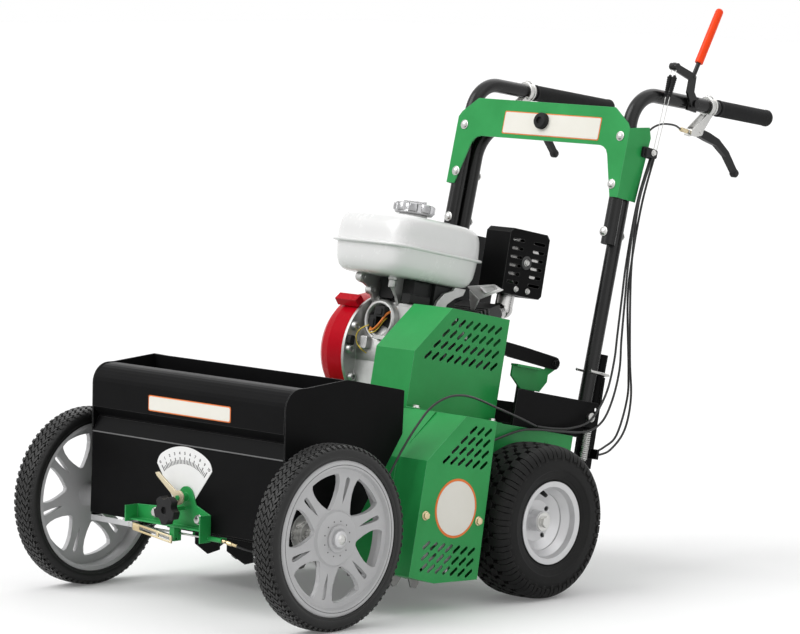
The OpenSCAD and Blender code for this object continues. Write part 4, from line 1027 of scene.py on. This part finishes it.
# domed bolts and nuts of the handle, the bands of the lever perches and the clamp of the cables
handleLook = {"domes": [(235, -50.1, 509), (235, -50.1, 616), (235, -47, 404)], "dome": 8.4,
              "domeShape": [(0, 0), (1.28, 0), (1.3, 0.5), (1.28, 1.6), (1, 1.7), (0.98, 3.4), (0.8, 5.0),
                            (0.45, 6.0), (0, 6.3)],
              "nuts": [(230, 16, 404), (230, 16, 509), (239, -15, 616)], "nut": 9.2, "screw": 6.5,
              "screwSeat": 20.4, "perches": {1: 180.4, -1: 100.4}, "bandStarts": (-9.4, 4.4),
              "band": [(20.3, 0), (21.6, 0.3), (22.2, 1), (22.2, 4), (21.6, 4.7), (20.3, 5)],
              "clamp": {"centre": (21, 594), "foot": (42, 24), "top": (36, 19), "x": (258.2, 266, 272.6)}}


def makeHandleFasteners(look):
    bm = bmesh.new()
    dome = [(look["dome"] * share, -rise) for share, rise in look["domeShape"]]  # washer and head
    for side in bothSides:
        for x, y, z in look["domes"]:
            lathe(bm, dome, 28, (side * x, y, z), "Y")
        for x, y, z in look["nuts"]:
            hexBolt(bm, (side * x, y, z), (0, 1, 0), look["nut"])
        place = gripPlace(side)
        middle = look["perches"][side]
        for start in look["bandStarts"]:
            turned(bm, [(r, middle + start + a) for r, a in look["band"]], 36, place)
        seat = place @ Vector((0, look["screwSeat"], middle))
        hexBolt(bm, seat, place.to_3x3() @ Vector((0, 1, 0)), look["screw"])
    settle(asPiece("handleFasteners", bm, barSpace, "zincPlate", 28), "handle", ["handle_bolts"])
    clamp = look["clamp"]
    near, step, far = clamp["x"]
    bm = bmesh.new()
    plate(bm, roundedBox(*clamp["foot"], 5, centre=clamp["centre"]), near, step, "X")
    plate(bm, roundedBox(*clamp["top"], 4, centre=clamp["centre"]), step, far, "X")
    settle(asPiece("cableClamp", bm, barSpace, "mouldedBlack"), "handle", soften=0.8)
    y, z = clamp["centre"]
    makeBolts("clampBolt", [((far, y + 4, z + 2), (1, 0, 0), look["screw"])], barSpace, "handle")


makeHandleFasteners(handleLook)
print("handle fitted")

# ribbed fuel cap: levels are (share of the radius, height, whether the notches cut it)
capLook = {"at": (-38, -114), "base": 612.4, "radius": 46, "ribs": 9, "ribSteps": 8, "notch": 0.12,
           "levels": [(0.84, 0, 0), (0.9, 1.5, 0), (0.92, 5, 0), (1.0, 6.5, 1), (1.0, 19, 1), (0.975, 22, 1),
                      (0.91, 23.6, 0), (0.8, 24.4, 0), (0.76, 22.5, 0), (0.3, 23, 0)],
           "bar": (64, 12), "barRise": (21, 30)}


def makeFuelCap(look):
    bm = bmesh.new()
    rings = []
    for share, height, cut in look["levels"]:
        ring = []
        for k, (c, s) in enumerate(circle(1, look["ribs"] * look["ribSteps"])):
            notched = cut and k % look["ribSteps"] in (1, 2, 3)
            r = look["radius"] * (share - (look["notch"] if notched else 0))
            ring.append((look["at"][0] + r * c, look["at"][1] + r * s, look["base"] + height))
        rings.append(ring)
    bridge(bm, rings)
    low, high = (look["base"] + rise for rise in look["barRise"])
    plate(bm, roundedBox(*look["bar"], 5, centre=look["at"]), low, high, "Z")
    settle(asPiece("ribbedFuelCap", bm, deckSpace, "capChrome"), "fuel_cap", ["fuel_cap"], 0.7)


makeFuelCap(capLook)

# smooth fuel tank: levels are (share of the plan, height), with the welded rim half way up
tankLook = {"at": (-38, -114), "half": (110, 137), "power": 0.3, "sides": 120,
            "levels": [(0.5, 470), (0.72, 470), (0.8, 471.2), (0.86, 474.4), (0.91, 482), (0.95, 496),
                       (0.965, 512), (0.975, 530.6), (0.99, 531.6), (1.032, 532.4), (1.04, 533.4),
                       (1.04, 536.6), (1.032, 537.6), (0.995, 538.4), (0.983, 539.6), (0.976, 562),
                       (0.964, 576), (0.943, 586), (0.905, 594), (0.85, 599), (0.76, 602.8), (0.62, 605),
                       (0.4, 606)],
            "neck": [(0, 604), (33, 604), (33, 607.5), (31, 609), (31, 612), (0, 612)]}


def makeTank(look):
    def bulge(half, share):
        return half * math.copysign(abs(share) ** look["power"], share)

    bm = bmesh.new()
    (x, y), (wide, deep) = look["at"], look["half"]
    plan = [(bulge(wide, c), bulge(deep, s)) for c, s in circle(1, look["sides"])]
    bridge(bm, [[(x + a * share, y + b * share, z) for a, b in plan] for share, z in look["levels"]])
    lathe(bm, look["neck"], 48, at=(x, y, 0), axis="Z")
    settle(asPiece("fuelTankShell", bm, deckSpace, "tankWhite", 50), "chassis", ["fuel_tank"])


makeTank(tankLook)

# engine castings: the bell, bosses along x, ears of the bracket, lugs and a post under the tank
castingLook = {
    "bell": (-42, 374), "back": -150, "lugCorner": 3.5,
    "bellProfile": [(34, -150), (46, -150), (46, -159), (44.6, -164), (41, -167.4), (37, -167.4), (34, -163)],
    "lugs": [((-62, 322), (20, 27), -182), ((-20, 336), (36, 9), -178), ((30, 330), (24, 30), -176)],
    "bosses": [(-185, 354), (-191.7, 302.6), (-173, 243.5), (-98, 424)],
    "boss": [(0, -92), (10.5, -92), (9.5, -84), (8, -82), (4.6, -82), (4.2, -89), (0, -89)],
    "ears": [(-202, 461), (-166, 437), (-136, 420)],
    "ear": [(4, -88), (9, -88), (10, -87), (10, -71), (9, -70), (4, -70)],
    "postAt": (-8, -176, 0),
    "post": [(0, 446), (7.5, 446), (8.5, 448), (8.5, 462), (10.5, 463), (10.5, 470), (0, 470)],
}


def makeCastings(look):
    bm = bmesh.new()
    x, z = look["bell"]
    lathe(bm, look["bellProfile"], 64, at=(x, 0, z), axis="Y")
    for centre, size, front in look["lugs"]:
        plate(bm, roundedBox(*size, look["lugCorner"], centre=centre), front, look["back"], "Y")
    for spots, profile, sides in (("bosses", "boss", 24), ("ears", "ear", 28)):
        for y, z in look[spots]:
            lathe(bm, look[profile], sides, at=(0, y, z))
    lathe(bm, look["post"], 24, at=look["postAt"], axis="Z")
    settle(asPiece("engineCastings", bm, deckSpace, "castAlloy"), "chassis", soften=0.8)


makeCastings(castingLook)

# dark pieces of the engine: carburettor boxes as (centre, size, front, back), the coil in its bell, a plug
ignitionLook = {
    "carburettor": [((-46, 446.7), (44, 45.4), -150, -96), ((10, 445.2), (40, 48.4), -146, -92),
                    ((26, 428), (26, 22), -162, -100), ((-44, 443.7), (56, 51.4), -92, -24),
                    ((20, 443.7), (42, 51.4), -92, -24)],
    "cup": [(0, -150.4), (34.4, -150.4), (34.4, -154), (26, -156), (12, -153), (0, -153)],
    "coils": [((-28, 392), (30, 24), -182), ((-52, 366), (20, 34), -174)], "coilBack": -151, "coilCorner": 4,
    "core": 0.6, "coreCorner": 2.5, "coreProud": 3, "corner": 5,
    "plug": ((-196, 322), (14, 21), -92, -80),
}


def makeIgnition(look):
    bm = bmesh.new()
    for centre, size, front, back in look["carburettor"]:
        plate(bm, roundedBox(*size, look["corner"], centre=centre), front, back, "Y")
    x, z = castingLook["bell"]
    lathe(bm, look["cup"], 48, at=(x, 0, z), axis="Y")
    for centre, (wide, tall), front in look["coils"]:
        plate(bm, roundedBox(wide, tall, look["coilCorner"], centre=centre), front, look["coilBack"], "Y")
        core = roundedBox(wide * look["core"], tall * look["core"], look["coreCorner"], centre=centre)
        plate(bm, core, front - look["coreProud"], front, "Y")
    centre, size, left, right = look["plug"]
    plate(bm, roundedBox(*size, look["corner"], centre=centre), left, right, "X")
    settle(asPiece("ignitionCoil", bm, deckSpace, "mouldedBlack"), "chassis", soften=0.8)


makeIgnition(ignitionLook)

# wires in the bell, then the starter rope between the fan cover and its grip
wireRoutes = {
    "coilWireYellow": ("wireYellow", 1.4, [
        (-58, -172, 362), (-74, -182, 350), (-83, -184, 335), (-78, -184, 318), (-66, -180, 306),
        (-60, -168, 299)]),
    "coilWireOrange": ("wireOrange", 2.6, [
        (-54, -172, 358), (-46, -181, 350), (-32, -184, 354), (-20, -182, 368), (-12, -174, 388),
        (-8, -152, 402)]),
    "loopWireYellow": ("wireYellow", 1.2, [
        (-56, -172, 356), (-50, -181, 346), (-38, -184, 344), (-26, -182, 352), (-18, -176, 370),
        (-16, -164, 384)]),
}
for wireName, (wireFinish, wireRadius, wireRoute) in wireRoutes.items():
    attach(makeCord(wireName, smoothPath(wireRoute), wireRadius, deckSpace, wireFinish), "chassis")

ropeLook = {"low": (-124, -146.2, 375.9), "high": (-124, -170.65, 399.5), "past": 0.15, "steps": 8,
            "radius": 2.2}


def makeRope(look):
    low, high = Vector(look["low"]), Vector(look["high"])
    far = high + (high - low) * look["past"]  # the end is inside the grip
    path = [low.lerp(far, i / look["steps"]) for i in range(look["steps"] + 1)]
    piece = makeCord("starterRope", path, look["radius"], deckSpace)
    deckSpace @ path[0]
    deckSpace @ path[-1]
    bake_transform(piece)


makeRope(ropeLook)

# boss and screws on the muffler guard, and the heat shield under the tank with its leg
exhaustLook = {"bossAt": (0, 127, 552),
               "screws": [((92, 127, 552), (1, 0, 0), 7), ((92, 106, 491), (1, 0, 0), 6),
                          ((92, 144, 491), (1, 0, 0), 6)],
               "boss": [(5, 91.8), (15, 91.8), (15, 93.4), (12.5, 94.6), (9, 94.2), (7, 92.8), (5, 92.8)],
               "shield": [(9, 40, 480), (69, 62, 492), (96, 62, 482), (51, 40, 455)], "thick": (0, 2, 2.4),
               "leg": [(18, 474), (51, 455), (46, 442), (41, 431), (31, 431), (25, 448)], "legY": (39, 42)}


def makeExhaustDetail(look):
    bm = bmesh.new()
    lathe(bm, look["boss"], 40, at=look["bossAt"])
    settle(asPiece("guardBoss", bm, deckSpace, "darkCasting"), "chassis")
    bm = bmesh.new()
    bridge(bm, [[Vector(spot) + Vector(look["thick"]) * lift for spot in look["shield"]] for lift in (0, 1)])
    plate(bm, look["leg"], *look["legY"], "Y")
    settle(asPiece("exhaustShield", bm, deckSpace, "castAlloy"), "chassis", soften=0.6)
    makeBolts("exhaustScrews", look["screws"], deckSpace, "chassis")


makeExhaustDetail(exhaustLook)
print("engine detailed")

# trim of the front hubs: a boss, a domed collar round the end of the axle, and a fine dark line with a ring of
# pins; the line is painted shade of a groove near the rim edge
hubLook = {
    "Boss": {"finish": "wheelGrey", "slot": "cast_alloy",
             "profile": [(10, 27), (28, 23.5), (28, 27.4), (27, 28.6), (22, 29), (20.6, 28.2), (10, 28.2)]},
    "Collar": {"finish": "rimSilver", "slot": "zinc_plate",
               "profile": [(9, 27.5), (18, 27.5), (18, 31.5), (16.8, 34.4), (13.6, 36.4), (9.6, 37.4),
                           (9, 37.4)]},
    # the thin dark ring is painted shade of the groove near the rim edge
    "Line": {"finish": "darkCasting", "slot": "black_paint", "pins": 12, "pinRing": 36,
             "profile": [(149, 28.7), (150.2, 28.7), (150.2, 29.2), (149, 29.2)],
             "pin": [(0, 22.6), (1.5, 22.6), (1.5, 23.6), (0, 23.7)]},
}


def makeHub(name, side, look, body):
    x, z = side * wheelPlace["frontX"], wheelPlace["frontRadius"]
    for ending, part in look.items():
        bm = bmesh.new()
        lathe(bm, [(r, side * a) for r, a in part["profile"]], 96, (x, 0, z))
        for i in range(part.get("pins", 0)):
            turn = 2 * math.pi * (i + 0.5) / part["pins"]
            spot = (x, part["pinRing"] * math.cos(turn), z + part["pinRing"] * math.sin(turn))
            lathe(bm, [(r, side * a) for r, a in part["pin"]], 12, spot)
        settle(asPiece(name + ending, bm, boxSpace, part["finish"]), body)


makeHub("leftHub", 1, hubLook, "front_axle")
makeHub("rightHub", -1, hubLook, "front_right_wheel")
print("hubs trimmed")

valveLook = {"line": [(32, 69), (40, 65), (50, 59)], "turn": 112, "radii": [5.2, 5.2, 4.2], "sides": 12}


def makeValves(look):
    bm = bmesh.new()
    turn = math.radians(look["turn"])
    for side in bothSides:
        path = []
        for out, r in look["line"]:
            path.append((side * (wheelPlace["rearX"] + out), r * math.cos(turn), r * math.sin(turn)))
        tube(bm, path, look["radii"], look["sides"])
    settle(asPiece("valveStems", bm, deckSpace, "mouldedBlack", 40), "rear_wheels")


makeValves(valveLook)

lockRingLook = {"at": (230, 29.5, 99), "ring": 20.5, "legs": (-23, -5, 12), "steps": 14, "radius": 3.2,
                "sides": 12}


def makeLockRings(look):
    # wire rings round the handle posts, open at the front
    bm = bmesh.new()
    x, y, z = look["at"]
    r, steps = look["ring"], look["steps"]
    for side in bothSides:
        path = [(side * x - r, leg, z) for leg in look["legs"]]
        for i in range(steps + 1):
            angle = math.pi * i / steps
            path.append((side * x - r * math.cos(angle), y + r * math.sin(angle), z))
        path += [(side * x + r, leg, z) for leg in reversed(look["legs"])]
        tube(bm, path, look["radius"], look["sides"])
    settle(asPiece("postLockRings", bm, barSpace, "zincPlate", 40), "chassis")


makeLockRings(lockRingLook)

# gold link of the seed gate: a slotted strip that slopes down to the right, with a tab at its left end
linkLook = {"y": (-90, -87), "left": -125, "right": -6, "high": 169, "drop": 14, "tabY": (-88, -79),
            "bars": [(-125, -6, -4, 0), (-125, -6, -16, -12), (-125, -105, -12, -4), (-52, -46, -12, -4),
                     (-12, -6, -12, -4)],
            "tab": [(-125, 158), (-114, 158), (-114, 165), (-125, 165)]}


def makeGateLink(look):
    bm = bmesh.new()
    slope = -look["drop"] / (look["right"] - look["left"])
    for x0, x1, low, high in look["bars"]:
        outline = [(x, look["high"] + z + slope * (x - look["left"])) for x, z in
                   ((x0, low), (x1, low), (x1, high), (x0, high))]
        plate(bm, outline, *look["y"], "Y")
    plate(bm, look["tab"], *look["tabY"], "Y")
    settle(asPiece("gateLink", bm, boxSpace, "goldZinc"), "seed_gate", soften=0.5)


makeGateLink(linkLook)

# the rail beside the gate, the gold end of the gate's cable and a light grey bead on the lip of the hopper
# cover, a painted highlight
seedboxLook = {"railX": (-284, -153), "rail": [(-65.5, 152.5), (-62.6, 152.5), (-62.6, 164), (-65.5, 164)],
               "cableEnd": [(156, -671.5, -144.6), (146, -677, -142.8), (145.6, -677.2, -142.7),
                            (136, -680, -141.1), (135.6, -680.1, -141.1), (124, -681.9, -139.4)],
               "endRadii": [3.4, 3.4, 4.6, 4.6, 3.6, 3.6], "endSides": 12,
               "lip": [(-288.5, -58.4, 341), (0, -58.4, 341), (288.5, -58.4, 341)], "lipRadius": 1.5}


def makeSeedboxTrim(look):
    bm = bmesh.new()
    plate(bm, look["rail"], *look["railX"], "X")
    settle(asPiece("gateRail", bm, boxSpace, "rimSilver"), "seedbox", soften=0.5)
    bm = bmesh.new()
    tube(bm, look["cableEnd"], look["endRadii"], look["endSides"])
    settle(asPiece("gateCableEnd", bm, deckSpace, "goldZinc"), "seedbox")
    # a light grey bead along the cover's lip: a painted highlight
    bm = bmesh.new()
    tube(bm, look["lip"], look["lipRadius"])
    settle(asPiece("coverLipHighlight", bm, boxSpace, "lipHighlightGrey", 40), "seedbox")


makeSeedboxTrim(seedboxLook)
print("small parts set")
